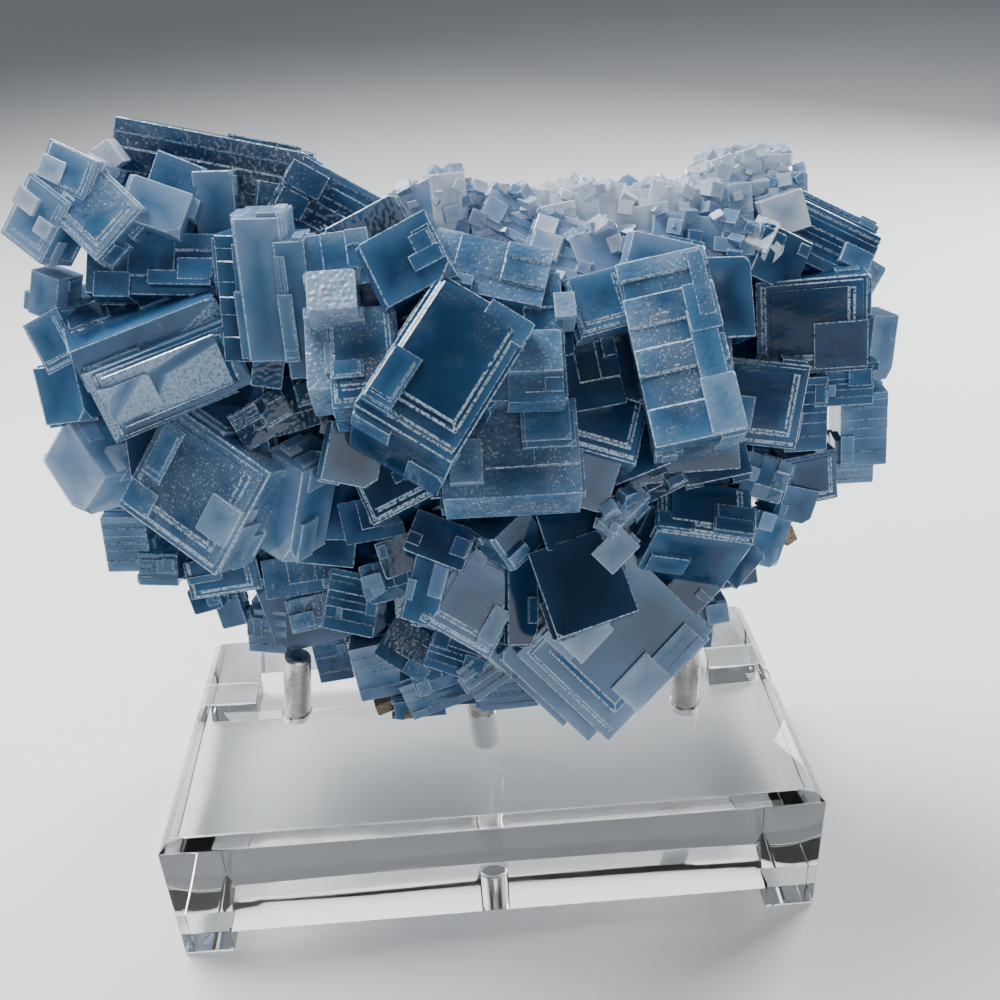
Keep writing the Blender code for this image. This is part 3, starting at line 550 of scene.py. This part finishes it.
def unite(meshes, name):
    """Join closed meshes two by two into one closed mesh."""
    whole = bpy.data.objects.new(name, meshes[0])
    other = bpy.data.objects.new("other", meshes[1])
    for obj in (whole, other):
        bpy.context.collection.objects.link(obj)
    make_active(whole)
    while len(meshes) > 1:
        pairs = list(zip(meshes[::2], meshes[1::2]))
        odd = meshes[len(pairs) * 2 :]
        for mesh, addition in pairs:
            whole.data, other.data = mesh, addition
            joint = whole.modifiers.new("joint", "BOOLEAN")
            joint.operation, joint.solver, joint.object = "UNION", "MANIFOLD", other
            bpy.ops.object.modifier_apply(modifier=joint.name)
        meshes = [mesh for mesh, addition in pairs] + odd
    whole.data = meshes[0]
    whole.data.name = name
    bpy.data.objects.remove(other, do_unlink=True)
    return whole


def main_grains():
    grains = []
    for crystal in CRYSTALS.values():
        axes = axes_of(crystal.face, crystal.spin)
        middle = seen_at(crystal.seen, crystal.y) - axes.col[2] * (crystal.size[2] / 2)
        grains.append(Grain(middle, crystal.size, axes, crystal.tone, crystal.sparkle, crystal.habit))
    return grains


def form_point(angle, height):
    """A point of the back's form and the way its surface looks."""
    a, h = math.radians(angle), math.radians(height)
    look = Vector((math.sin(a) * math.cos(h), -math.cos(a) * math.cos(h), math.sin(h)))
    narrow = 1 - FORM_TAPER * max(0.0, -look.z) ** TAPER_POWER
    at = Vector((look.x * FORM_RADII.x * narrow, look.y * FORM_RADII.y, look.z * FORM_RADII.z))
    return FORM_CENTRE + at, look


def back_grains():
    """The same crystals over the back and sides as the solid model has."""
    rng, looks = random.Random(SEED), random.Random(SEED + 1)
    grains = []
    for height in ROW_ANGLES:
        girth = math.cos(math.radians(height)) * (FORM_RADII.x + FORM_RADII.y) / 2
        step = math.degrees(ROW_STEP / max(girth, LEAST_GIRTH))
        start, end = (0, 360) if height > CROWN_HEIGHT else (BACK_START, BACK_END)
        angle = start + rng.uniform(0, step)
        while angle < end:
            at, look = form_point(angle, height + rng.uniform(-ROW_WANDER, ROW_WANDER))
            turned = angle + rng.uniform(-TURN_WANDER, TURN_WANDER)
            face = (turned, math.degrees(math.asin(look.z)) * 0.6 + rng.uniform(-RISE_WANDER, RISE_WANDER))
            side = rng.uniform(GRAIN_SMALL, GRAIN_LARGE)
            size = (side, side * rng.uniform(0.6, 1.0), side * rng.uniform(0.7, 1.1))
            reach = max(size) * 0.62
            ceiling = CREST_HEIGHT - (at.y - CREST_Y) * SIGHT_SLOPE - reach
            middle = Vector((at.x, at.y, min(at.z, ceiling))) - look * (side * 0.3)
            axes = axes_of(face, rng.uniform(-SPIN_WANDER, SPIN_WANDER))
            # Upward-facing crystals are made paler, partly for the pale crest's own colour and partly as
            # painted light from above.
            tone = looks.uniform(0.2, 0.6) + 0.25 * max(0.0, look.z)
            sparkle = looks.choice((0, 0, 0.1, 0.5))
            grains.append(Grain(middle, size, axes, tone, sparkle, looks.choice(HABITS)))
            angle += step * rng.uniform(0.85, 1.15)
    return grains


def side_grains(parents, share, rise):
    """Smaller blocks grown parallel on their parent's sides, which give the stepped edges."""
    rng = random.Random(SEED + 2)
    grains = []
    for parent in parents:
        largest = max(parent.size)
        if largest < LEAST_PARENT:
            continue
        for _ in range(max(1, round(largest * share))):
            size = Vector([side * rng.uniform(*SIDE_SIZES) for side in parent.size])
            spot = Vector([rng.uniform(-0.5, 0.5) * (parent.size[i] - size[i]) for i in range(3)])
            side = rng.choice((0, 0, 1, 1, 2))
            sign = 1 if side == 2 else rng.choice((-1, 1))
            spot[side] = sign * (parent.size[side] / 2 - size[side] / 2 + rng.uniform(0.25, rise))
            other = (side + 1) % 3 if side != 1 else 0
            edge = (parent.size[other] - size[other]) / 2
            spot[other] = rng.choice((-1, 1)) * edge * rng.uniform(0.8, 1.02)
            middle = parent.middle + parent.axes @ spot
            tone = min(1.0, max(0.0, parent.tone + rng.uniform(*SIDE_TONES)))
            habit = rng.choice(SIDE_HABITS)
            grains.append(Grain(middle, tuple(size), parent.axes, tone, parent.sparkle * 0.7, habit))
    return grains


def druse_grains(parents):
    """Small pale crystals, turned every way, over the top and front of the crystals of the crest."""
    rng = random.Random(SEED + 3)
    grains = []
    for parent in parents:
        for _ in range(round(parent.size[0] * (parent.size[1] + parent.size[2]) * DRUSE_SHARE)):
            spot = Vector([rng.uniform(-0.5, 0.5) * side for side in parent.size])
            side = rng.choice((1, 1, 2))
            spot[side] = parent.size[side] / 2
            turn = Euler([rng.uniform(-DRUSE_TURN, DRUSE_TURN) for _ in range(3)]).to_matrix()
            width = rng.uniform(DRUSE_SMALL, DRUSE_LARGE)
            size = (width, width * rng.uniform(0.7, 1), width * rng.uniform(0.8, 1.2))
            tone = min(1.0, parent.tone + rng.uniform(-0.15, 0.15))
            middle = parent.middle + parent.axes @ spot
            grains.append(Grain(middle, size, parent.axes @ turn, tone, 0.2, "plain"))
    return grains


def inside_cad(grain):
    """Whether the whole block stays in the solid model's box."""
    low, high = (c / MM for c in CAD_BOX)
    half = Vector(grain.size) / 2
    for corner in ((x, y, z) for x in (-1, 1) for y in (-1, 1) for z in (-1, 1)):
        at = grain.middle + grain.axes @ Vector([half[i] * corner[i] for i in range(3)]) + STAND / MM
        if any(at[i] < low[i] or at[i] > high[i] for i in range(3)):
            return False
    return True


def shells_of(bm):
    """The mesh's separate closed surfaces, each a list of faces."""
    left, shells = set(bm.faces), []
    while left:
        queue, shell = [left.pop()], []
        while queue:
            face = queue.pop()
            shell.append(face)
            near = {f for e in face.edges for f in e.link_faces} & left
            left -= near
            queue.extend(near)
        shells.append(shell)
    return shells


def keep_outer_shell(obj):
    """Close the hollows that the crystals shut in between them, which in the stone are solid."""
    bm = bmesh.new()
    bm.from_mesh(obj.data)
    shells = sorted(shells_of(bm), key=len)
    outer = set(shells.pop())
    if any(len(shell) > LOOSE_FACES and shell_volume(shell) > LOOSE_VOLUME for shell in shells):
        raise RuntimeError("A part of the cluster stands free of the rest")
    bmesh.ops.delete(bm, geom=[f for f in bm.faces if f not in outer], context="FACES")
    bmesh.ops.delete(bm, geom=[v for v in bm.verts if not v.link_faces], context="VERTS")
    bm.to_mesh(obj.data)
    bm.free()


def shell_volume(faces):
    """Volume within a closed surface, cubic metres; below zero where it faces inwards."""
    return sum(f.calc_center_median().dot(f.normal) * f.calc_area() for f in faces) / 3


def clear_of_stand(obj):
    """Cut the stone back from the pins and the block."""
    for name, pin in PINS.items():
        room = rod(f"room_{name}", pin, ROOM_BELOW, CLEARANCE, PIN_RADIUS + CLEARANCE, PIN_CHAMFER)
        boolean(obj, "DIFFERENCE", room)
    at = Vector((0, 0, BLOCK_TOP + CLEARANCE - SLAB_HEIGHT / 2)) * MM
    boolean(obj, "DIFFERENCE", add_box("slab", (SLAB_SIDE, SLAB_SIDE, SLAB_HEIGHT * MM), at))


# The stand


def rod(name, pin, below, above, radius, chamfer, steps=1):
    """A round bar on a pin's line, from below the block's top to past the pin's tip, its ends chamfered."""
    lean = math.radians(pin.lean)
    axis = Vector((math.sin(lean), 0, math.cos(lean)))
    entry = Vector((pin.x, pin.y, BLOCK_TOP)) + STAND / MM
    foot = entry - axis * below
    tip = entry + axis * ((pin.top - BLOCK_TOP) / axis.z + above)
    deselect_all()
    length = (tip - foot).length
    bpy.ops.mesh.primitive_cylinder_add(vertices=ROUND_SIDES, radius=radius * MM, depth=length * MM)
    obj = bpy.context.object
    obj.name = obj.data.name = name
    ends = obj.modifiers.new("ends", "BEVEL")
    ends.width, ends.segments = chamfer * MM, steps
    ends.limit_method, ends.angle_limit = "ANGLE", END_FROM
    apply_modifiers(obj)
    obj.data.transform(Matrix.Translation((foot + tip) / 2 * MM) @ Matrix.Rotation(lean, 4, "Y"))
    return obj


def soften(obj):
    """Round the edges of a piece of acrylic a little."""
    clean_up(obj)
    bpy.ops.object.mode_set(mode="EDIT")
    bpy.ops.mesh.select_all(action="SELECT")
    bpy.ops.mesh.dissolve_limited(angle_limit=FLAT)
    leave_edit()
    edges = obj.modifiers.new("edges", "BEVEL")
    edges.width, edges.segments = ARRIS * MM, 2
    edges.limit_method, edges.angle_limit = "ANGLE", ARRIS_FROM
    apply_modifiers(obj)


def model_block():
    """The block with its chamfered top, its holes, and its feet, which are bonded to it."""
    size, middle = BLOCK_HIGH - BLOCK_LOW, (BLOCK_HIGH + BLOCK_LOW) / 2
    block = add_box("acrylic_stand", size, middle)
    pick(block, lambda at, along: at.z > BLOCK_HIGH.z - 1e-5, "EDGE")
    bpy.ops.mesh.bevel(offset=BLOCK_CHAMFER * MM, segments=1, affect="EDGES")
    leave_edit()
    for name in FEET:
        low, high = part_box(name)
        high.z = BLOCK_LOW.z + FOOT_BOND * MM
        boolean(block, "UNION", add_box(name + "_body", high - low, (high + low) / 2))
    for name, pin in PINS.items():
        hole = rod("hole_" + name, pin, pin.depth, HOLE_ABOVE, PIN_RADIUS + CLEARANCE, HOLE_CHAMFER)
        boolean(block, "DIFFERENCE", hole)
    soften(block)
    for vertex in block.data.vertices:  # a softened foot's edge can reach past the block's side
        vertex.co.y = min(max(vertex.co.y, BLOCK_LOW.y), BLOCK_HIGH.y)
    make_active(block)
    bpy.ops.object.shade_smooth_by_angle(angle=BLOCK_SMOOTH)
    return block


# Node groups


def feed(tree, socket, value):
    """Link a socket to another, or set it to a number or to a colour of three."""
    if isinstance(value, bpy.types.NodeSocket):
        tree.links.new(value, socket)
    else:
        socket.default_value = (*value, 1) if isinstance(value, tuple) else value


def math_node(tree, operation, a, b=0.0, clamp=False):
    node = tree.nodes.new("ShaderNodeMath")
    node.operation, node.use_clamp = operation, clamp
    for socket, value in zip(node.inputs, (a, b)):
        feed(tree, socket, value)
    return node.outputs[0]


def times(tree, a, b):
    return math_node(tree, "MULTIPLY", a, b)


def total(tree, *values):
    whole = values[0]
    for value in values[1:]:
        whole = math_node(tree, "ADD", whole, value)
    return whole


def swing(tree, value, amount):
    """A value of 0 to 1 made to swing about zero."""
    return times(tree, math_node(tree, "SUBTRACT", value, 0.5), amount)


def noise(tree, vector, scale, detail, roughness=0.55):
    node = tree.nodes.new("ShaderNodeTexNoise")
    node.inputs["Scale"].default_value = scale
    node.inputs["Detail"].default_value = detail
    node.inputs["Roughness"].default_value = roughness
    tree.links.new(vector, node.inputs["Vector"])
    return node.outputs["Fac"]


def grey(level):
    return (level, level, level)


def ramp(tree, value, stops):
    node = tree.nodes.new("ShaderNodeValToRGB")
    while len(node.color_ramp.elements) < len(stops):
        node.color_ramp.elements.new(0.5)
    for element, (at, colour) in zip(node.color_ramp.elements, stops):
        element.position = at
        element.color = (*colour, 1)
    tree.links.new(value, node.inputs["Fac"])
    return node.outputs["Color"]


def mask(tree, value, low, high):
    """0 where the value is below the low one, and 1 where it is above the high one."""
    return ramp(tree, value, [(low, grey(0)), (high, grey(1))])


def mix_colour(tree, factor, a, b):
    node = tree.nodes.new("ShaderNodeMix")
    node.data_type = "RGBA"
    for index, value in ((0, factor), (6, a), (7, b)):
        feed(tree, node.inputs[index], value)
    return node.outputs[2]


def object_place(tree):
    return tree.nodes.new("ShaderNodeTexCoord").outputs["Object"]


def mapped(tree, vector, scale):
    node = tree.nodes.new("ShaderNodeMapping")
    node.inputs["Scale"].default_value = scale
    tree.links.new(vector, node.inputs["Vector"])
    return node.outputs["Vector"]


def attribute(tree, name):
    node = tree.nodes.new("ShaderNodeAttribute")
    node.attribute_name = name
    return node.outputs


def split(tree, value, kind="XYZ"):
    node = tree.nodes.new("ShaderNodeSeparate" + kind)
    tree.links.new(value, node.inputs[0])
    return node.outputs


def grain_place(tree):
    """The crystal's own coordinates in millimetres and its chance value, from its two UV maps."""
    across, along = (tree.nodes.new("ShaderNodeUVMap") for _ in GRAIN_MAPS)
    across.uv_map, along.uv_map = GRAIN_MAPS
    flat, deep = (split(tree, node.outputs["UV"]) for node in (across, along))
    join = tree.nodes.new("ShaderNodeCombineXYZ")
    for socket, value in zip(join.inputs, (flat["X"], flat["Y"], deep["X"])):
        tree.links.new(value, socket)
    return join.outputs[0], deep["Y"]


def rim_group():
    """How far a point on a crystal lies from the nearest edge of its face, mm."""
    group = bpy.data.node_groups.new("rim_distance", "ShaderNodeTree")
    ends = (("INPUT", "Grain", "Vector"), ("INPUT", "Half Size", "Vector"), ("OUTPUT", "Distance", "Float"))
    for way, label, kind in ends:
        group.interface.new_socket(name=label, in_out=way, socket_type="NodeSocket" + kind)
    inp, out = (group.nodes.new("NodeGroup" + end) for end in ("Input", "Output"))
    sides = []
    for at, half in zip(*(split(group, inp.outputs[name]) for name in ("Grain", "Half Size"))):
        sides.append(math_node(group, "SUBTRACT", half, math_node(group, "ABSOLUTE", at)))
    least, most = (math_node(group, which, sides[0], sides[1]) for which in ("MINIMUM", "MAXIMUM"))
    middle = math_node(group, "MAXIMUM", least, math_node(group, "MINIMUM", most, sides[2]))
    group.links.new(middle, out.inputs["Distance"])
    return group


def bump(tree, height, strength, distance):
    node = tree.nodes.new("ShaderNodeBump")
    node.inputs["Strength"].default_value = strength
    node.inputs["Distance"].default_value = distance
    tree.links.new(height, node.inputs["Height"])
    return node.outputs["Normal"]


# Materials


def new_material(name):
    material = bpy.data.materials.new(name)
    material.use_nodes = True
    tree = material.node_tree
    return material, tree, tree.nodes["Principled BSDF"]


def set_surface(tree, shader, looks):
    for name, value in looks.items():
        feed(tree, shader.inputs[name], value)


def fluorite_material(settings):
    """Zoned blue crystal: dark hearts, pale rims, a painted highlight along the edges and over the worn
    faces, and rough patches with painted white glints.
    """
    material, tree, shader = new_material("fluorite")
    grain, chance = grain_place(tree)
    place = object_place(tree)
    tone, sparkle, worn = split(tree, attribute(tree, "look")["Color"], "Color")[:3]
    rim = tree.nodes.new("ShaderNodeGroup")
    rim.node_tree = rim_group()
    tree.links.new(grain, rim.inputs["Grain"])
    tree.links.new(attribute(tree, "half_size")["Vector"], rim.inputs["Half Size"])
    to_edge = rim.outputs["Distance"]

    clouds = noise(tree, place, CLOUDS, 3.0)
    inward = math_node(tree, "DIVIDE", to_edge, settings.rim_width)
    pale_rim = math_node(tree, "SUBTRACT", 1.0, inward, clamp=True)
    sway = ((clouds, 0.9), (pale_rim, 0.24), (chance, 0.14))
    shade = total(tree, tone, *(swing(tree, value, amount) for value, amount in sway))
    blues = (NAVY, settings.deep, settings.middle, settings.pale, settings.white)
    base = ramp(tree, shade, [(at, tuple(blue)) for at, blue in zip(ZONES, blues)])

    fine = noise(tree, place, GRIT, 1.0)
    patches = math_node(tree, "ADD", noise(tree, place, PATCHES, 2.0), times(tree, sparkle, 0.35))
    rough_mask = times(tree, mask(tree, patches, 0.55, 0.8), sparkle)
    base = mix_colour(tree, times(tree, rough_mask, 0.35), base, FROST)
    # White specks on the rough patches: painted glints, a painted highlight.
    base = mix_colour(tree, times(tree, rough_mask, mask(tree, fine, 0.62, 0.68)), base, GLINT)
    # A pale colour painted along each crystal's edges and over its worn faces, broken up by fine noise: a
    # painted highlight.
    line = math_node(tree, "LESS_THAN", to_edge, HIGHLIGHT_LINE)
    edge = math_node(tree, "MAXIMUM", worn, times(tree, line, 0.6))
    highlit_edges = times(tree, edge, mask(tree, fine, 0.36, 0.54))
    base = mix_colour(tree, times(tree, highlit_edges, 0.75), base, EDGE_HIGHLIGHT)
    rock = ramp(tree, fine, [(0.3, ROCK_DARK), (0.7, ROCK_PALE)])
    is_rock = math_node(tree, "LESS_THAN", tone, -0.5)

    uneven = noise(tree, place, WAVES, 0.0)
    rubble = times(tree, noise(tree, place, RUBBLE, 0.0), sparkle)
    height = math_node(tree, "ADD", times(tree, uneven, 0.5), rubble)
    set_surface(tree, shader, {
        "Base Color": mix_colour(tree, is_rock, base, rock),
        "Roughness": total(tree, times(tree, clouds, 0.13), times(tree, rough_mask, 0.2), 0.03),
        "Normal": bump(tree, height, 0.5, 0.0007),
        "IOR": FLUORITE_IOR,
        "Transmission Weight": settings.clearness,
    })
    absorption = tree.nodes.new("ShaderNodeVolumeAbsorption")
    set_surface(tree, absorption, {"Color": BLUE_THROUGH, "Density": settings.absorption})
    tree.links.new(absorption.outputs[0], tree.nodes["Material Output"].inputs["Volume"])
    return material


def acrylic_material():
    """Clear acrylic with faint smears."""
    material, tree, shader = new_material("acrylic")
    smear = noise(tree, mapped(tree, object_place(tree), (1, 3, 3)), 60.0, 0.0)
    set_surface(tree, shader, {
        "Base Color": ramp(tree, smear, [(0.3, (0.95, 0.97, 0.975)), (0.7, (0.98, 0.988, 0.988))]),
        "Roughness": ramp(tree, smear, [(0.45, grey(0.008)), (0.8, grey(0.05))]),
        "IOR": ACRYLIC_IOR,
        "Transmission Weight": 1.0,
    })
    return material


def steel_material():
    """Turned steel: fine rings round the bar and small scuffs."""
    material, tree, shader = new_material("pin_steel")
    place = object_place(tree)
    rings = noise(tree, mapped(tree, place, (120, 120, 5200)), 1.0, 2.0, 0.6)
    scuffs = noise(tree, mapped(tree, place, (1, 1, 0.3)), 420.0, 3.0, 0.6)
    set_surface(tree, shader, {
        "Base Color": ramp(tree, scuffs, [(0.3, (0.52, 0.5, 0.46)), (0.65, (0.64, 0.62, 0.58))]),
        "Roughness": ramp(tree, rings, [(0.3, grey(0.2)), (0.7, grey(0.3))]),
        "Normal": bump(tree, rings, 0.05, 0.0002),
        "Metallic": 1.0,
    })
    return material


def floor_material():
    material, tree, shader = new_material("studio_floor")
    mottle = noise(tree, object_place(tree), 3.0, 0.0)
    set_surface(tree, shader, {
        "Base Color": ramp(tree, mottle, [(0.3, (0.78, 0.79, 0.8)), (0.7, (0.8, 0.81, 0.82))]),
        "Roughness": 0.6,
        "Specular IOR Level": 0.0,
    })
    return material


def paint(obj, material):
    obj.data.materials.clear()
    obj.data.materials.append(material)


# Settings


def number(name, default, description):
    return FloatProperty(name=name, default=default, description=description)


def colour(name, default, description):
    return FloatVectorProperty(name=name, subtype="COLOR", default=default, description=description)


class FluoriteSettings(bpy.types.PropertyGroup):
    side_share: number("Side crystals", 0.32, "Side crystals for each mm of a crystal")
    side_rise: number("Side rise", 1.1, "How far a side crystal stands out, mm")
    clearness: number("Clearness", 0.3, "Share of light that goes through")
    absorption: number("Absorption", 60.0, "Density of the blue in the stone")
    rim_width: number("Rim width", 5.0, "How far a crystal's pale rim reaches in, mm")
    deep: colour("Deep blue", (0.012, 0.05, 0.12), "Darkest zones")
    middle: colour("Steel blue", (0.06, 0.165, 0.31), "Usual faces")
    pale: colour("Pale blue", (0.25, 0.385, 0.57), "Cloudy faces")
    white: colour("White", (0.78, 0.83, 0.9), "Small crest crystals")


class StageSettings(bpy.types.PropertyGroup):
    floor_side: number("Floor", 6.0, "Side of the floor, m")
    key_power: number("Key light", 17.0, "Power of the main soft light, W")
    fill_power: number("Fill light", 3.6, "Power of the soft light in front, W")
    rim_power: number("Rim light", 9.0, "Power of the light behind, W")
    world_level: number("Surroundings", 0.22, "Brightness of the plain surroundings")


class FLUORITE_OT_cluster(bpy.types.Operator):
    """Grow the fluorite cluster: great crystals, side crystals and the crystals of the back"""

    bl_idname = "fluorite.cluster"
    bl_label = "Grow cluster"

    def execute(self, context):
        settings = context.scene.fluorite
        shapes = model_habits()
        mains = main_grains()
        backs = back_grains()
        sides = side_grains(mains, settings.side_share, settings.side_rise)
        sides += side_grains(backs, BACK_SIDE_SHARE, BACK_SIDE_RISE)
        crest = [grain for name, grain in zip(CRYSTALS, mains) if name.startswith(("crest", "white"))]
        cores = [Grain(Vector(c.centre), c.size, axes_of(c.face, c.spin), *CORE_LOOKS) for c in CORE_BLOCKS]
        grains = cores + mains + backs + [g for g in sides + druse_grains(crest) if inside_cad(g)]
        first = unite([placed(shapes[g.habit], g) for g in grains], "fluorite_crystals")
        keep_outer_shell(first)
        clear_of_stand(first)
        for shape in shapes.values():
            bpy.data.objects.remove(shape, do_unlink=True)
        paint(first, fluorite_material(settings))
        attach(first, "root")
        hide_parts("fluorite_cluster")
        return {"FINISHED"}


class FLUORITE_OT_stand(bpy.types.Operator):
    """Finish the acrylic block and its feet"""

    bl_idname = "fluorite.stand"
    bl_label = "Finish stand"

    def execute(self, context):
        block = model_block()
        paint(block, acrylic_material())
        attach(block, "root")
        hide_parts("acrylic_block", *FEET)
        return {"FINISHED"}


class FLUORITE_OT_pins(bpy.types.Operator):
    """Finish the steel pins"""

    bl_idname = "fluorite.pins"
    bl_label = "Turn pins"

    def execute(self, context):
        steel = steel_material()
        for name, pin in PINS.items():
            below = pin.depth - CLEARANCE
            piece = rod("turned_" + name, pin, below, 0.0, PIN_RADIUS, PIN_CHAMFER, PIN_END_STEPS)
            make_active(piece)
            bpy.ops.object.shade_smooth_by_angle(angle=PIN_SMOOTH)
            paint(piece, steel)
            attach(piece, "root")
            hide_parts(name)
        return {"FINISHED"}


class FLUORITE_OT_stage(bpy.types.Operator):
    """Set the pale floor, the soft lights and the camera"""

    bl_idname = "fluorite.stage"
    bl_label = "Set stage"

    def execute(self, context):
        settings = context.scene.fluorite_stage
        deselect_all()
        bpy.ops.mesh.primitive_plane_add(size=settings.floor_side, location=FLOOR_AT)
        floor = bpy.context.object
        floor.name = "studio_floor"
        bpy.ops.object.transform_apply(location=True, rotation=True, scale=True)
        paint(floor, floor_material())
        lights = (
            ("key", (-0.3, 0.22, 0.8), 0.45, settings.key_power),
            ("fill", (0.25, -0.9, 0.45), 0.7, settings.fill_power),
            ("rim", (0.6, 0.45, 0.45), 0.4, settings.rim_power),
        )
        for name, at, size, power in lights:
            light = bpy.data.lights.new(name, "AREA")
            light.shape, light.size, light.energy = "SQUARE", size, power
            obj = bpy.data.objects.new(name, light)
            bpy.context.collection.objects.link(obj)
            obj.location = at
            obj.rotation_euler = (LIGHTS_AIM - Vector(at)).to_track_quat("-Z", "Y").to_euler()
        world = bpy.data.worlds.new("surroundings")
        world.use_nodes = True
        background = world.node_tree.nodes["Background"]
        background.inputs[0].default_value = (*SURROUNDINGS, 1)
        background.inputs[1].default_value = settings.world_level
        context.scene.world = world
        place_camera(context)
        return {"FINISHED"}


def place_camera(context):
    camera = bpy.data.cameras.new("photo_camera")
    camera.sensor_width = 36.0
    camera.lens = camera.sensor_width * CAMERA_FOCAL_PX / PICTURE_PX
    camera.clip_start = 0.01
    obj = bpy.data.objects.new("photo_camera", camera)
    context.scene.collection.objects.link(obj)
    right, up, ahead = camera_axes()
    turn = Matrix((right, up, -ahead)).transposed().to_4x4()
    obj.matrix_world = Matrix.Translation(CAMERA_AT * MM + STAND) @ turn
    context.scene.camera = obj


class FLUORITE_PT_panel(bpy.types.Panel):
    """Sidebar panel that lists the steps"""

    bl_label = "Fluorite specimen"
    bl_idname = "FLUORITE_PT_panel"
    bl_space_type = "VIEW_3D"
    bl_region_type = "UI"
    bl_category = "Fluorite"

    def draw(self, context):
        for step in STEPS:
            self.layout.operator(step.bl_idname)
        for group in (context.scene.fluorite, context.scene.fluorite_stage):
            for name in group.bl_rna.properties.keys():
                if name not in ("rna_type", "name"):
                    self.layout.prop(group, name)


STEPS = (FLUORITE_OT_cluster, FLUORITE_OT_stand, FLUORITE_OT_pins, FLUORITE_OT_stage)
CLASSES = (FluoriteSettings, StageSettings, *STEPS, FLUORITE_PT_panel)


def register():
    for cls in CLASSES:
        bpy.utils.register_class(cls)
    bpy.types.Scene.fluorite = PointerProperty(type=FluoriteSettings)
    bpy.types.Scene.fluorite_stage = PointerProperty(type=StageSettings)


def unregister():
    del bpy.types.Scene.fluorite, bpy.types.Scene.fluorite_stage
    for cls in reversed(CLASSES):
        bpy.utils.unregister_class(cls)


def main():
    register()
    bpy.ops.fluorite.cluster()
    bpy.ops.fluorite.stand()
    bpy.ops.fluorite.pins()
    bpy.ops.fluorite.stage()


if __name__ == "__main__":
    main()
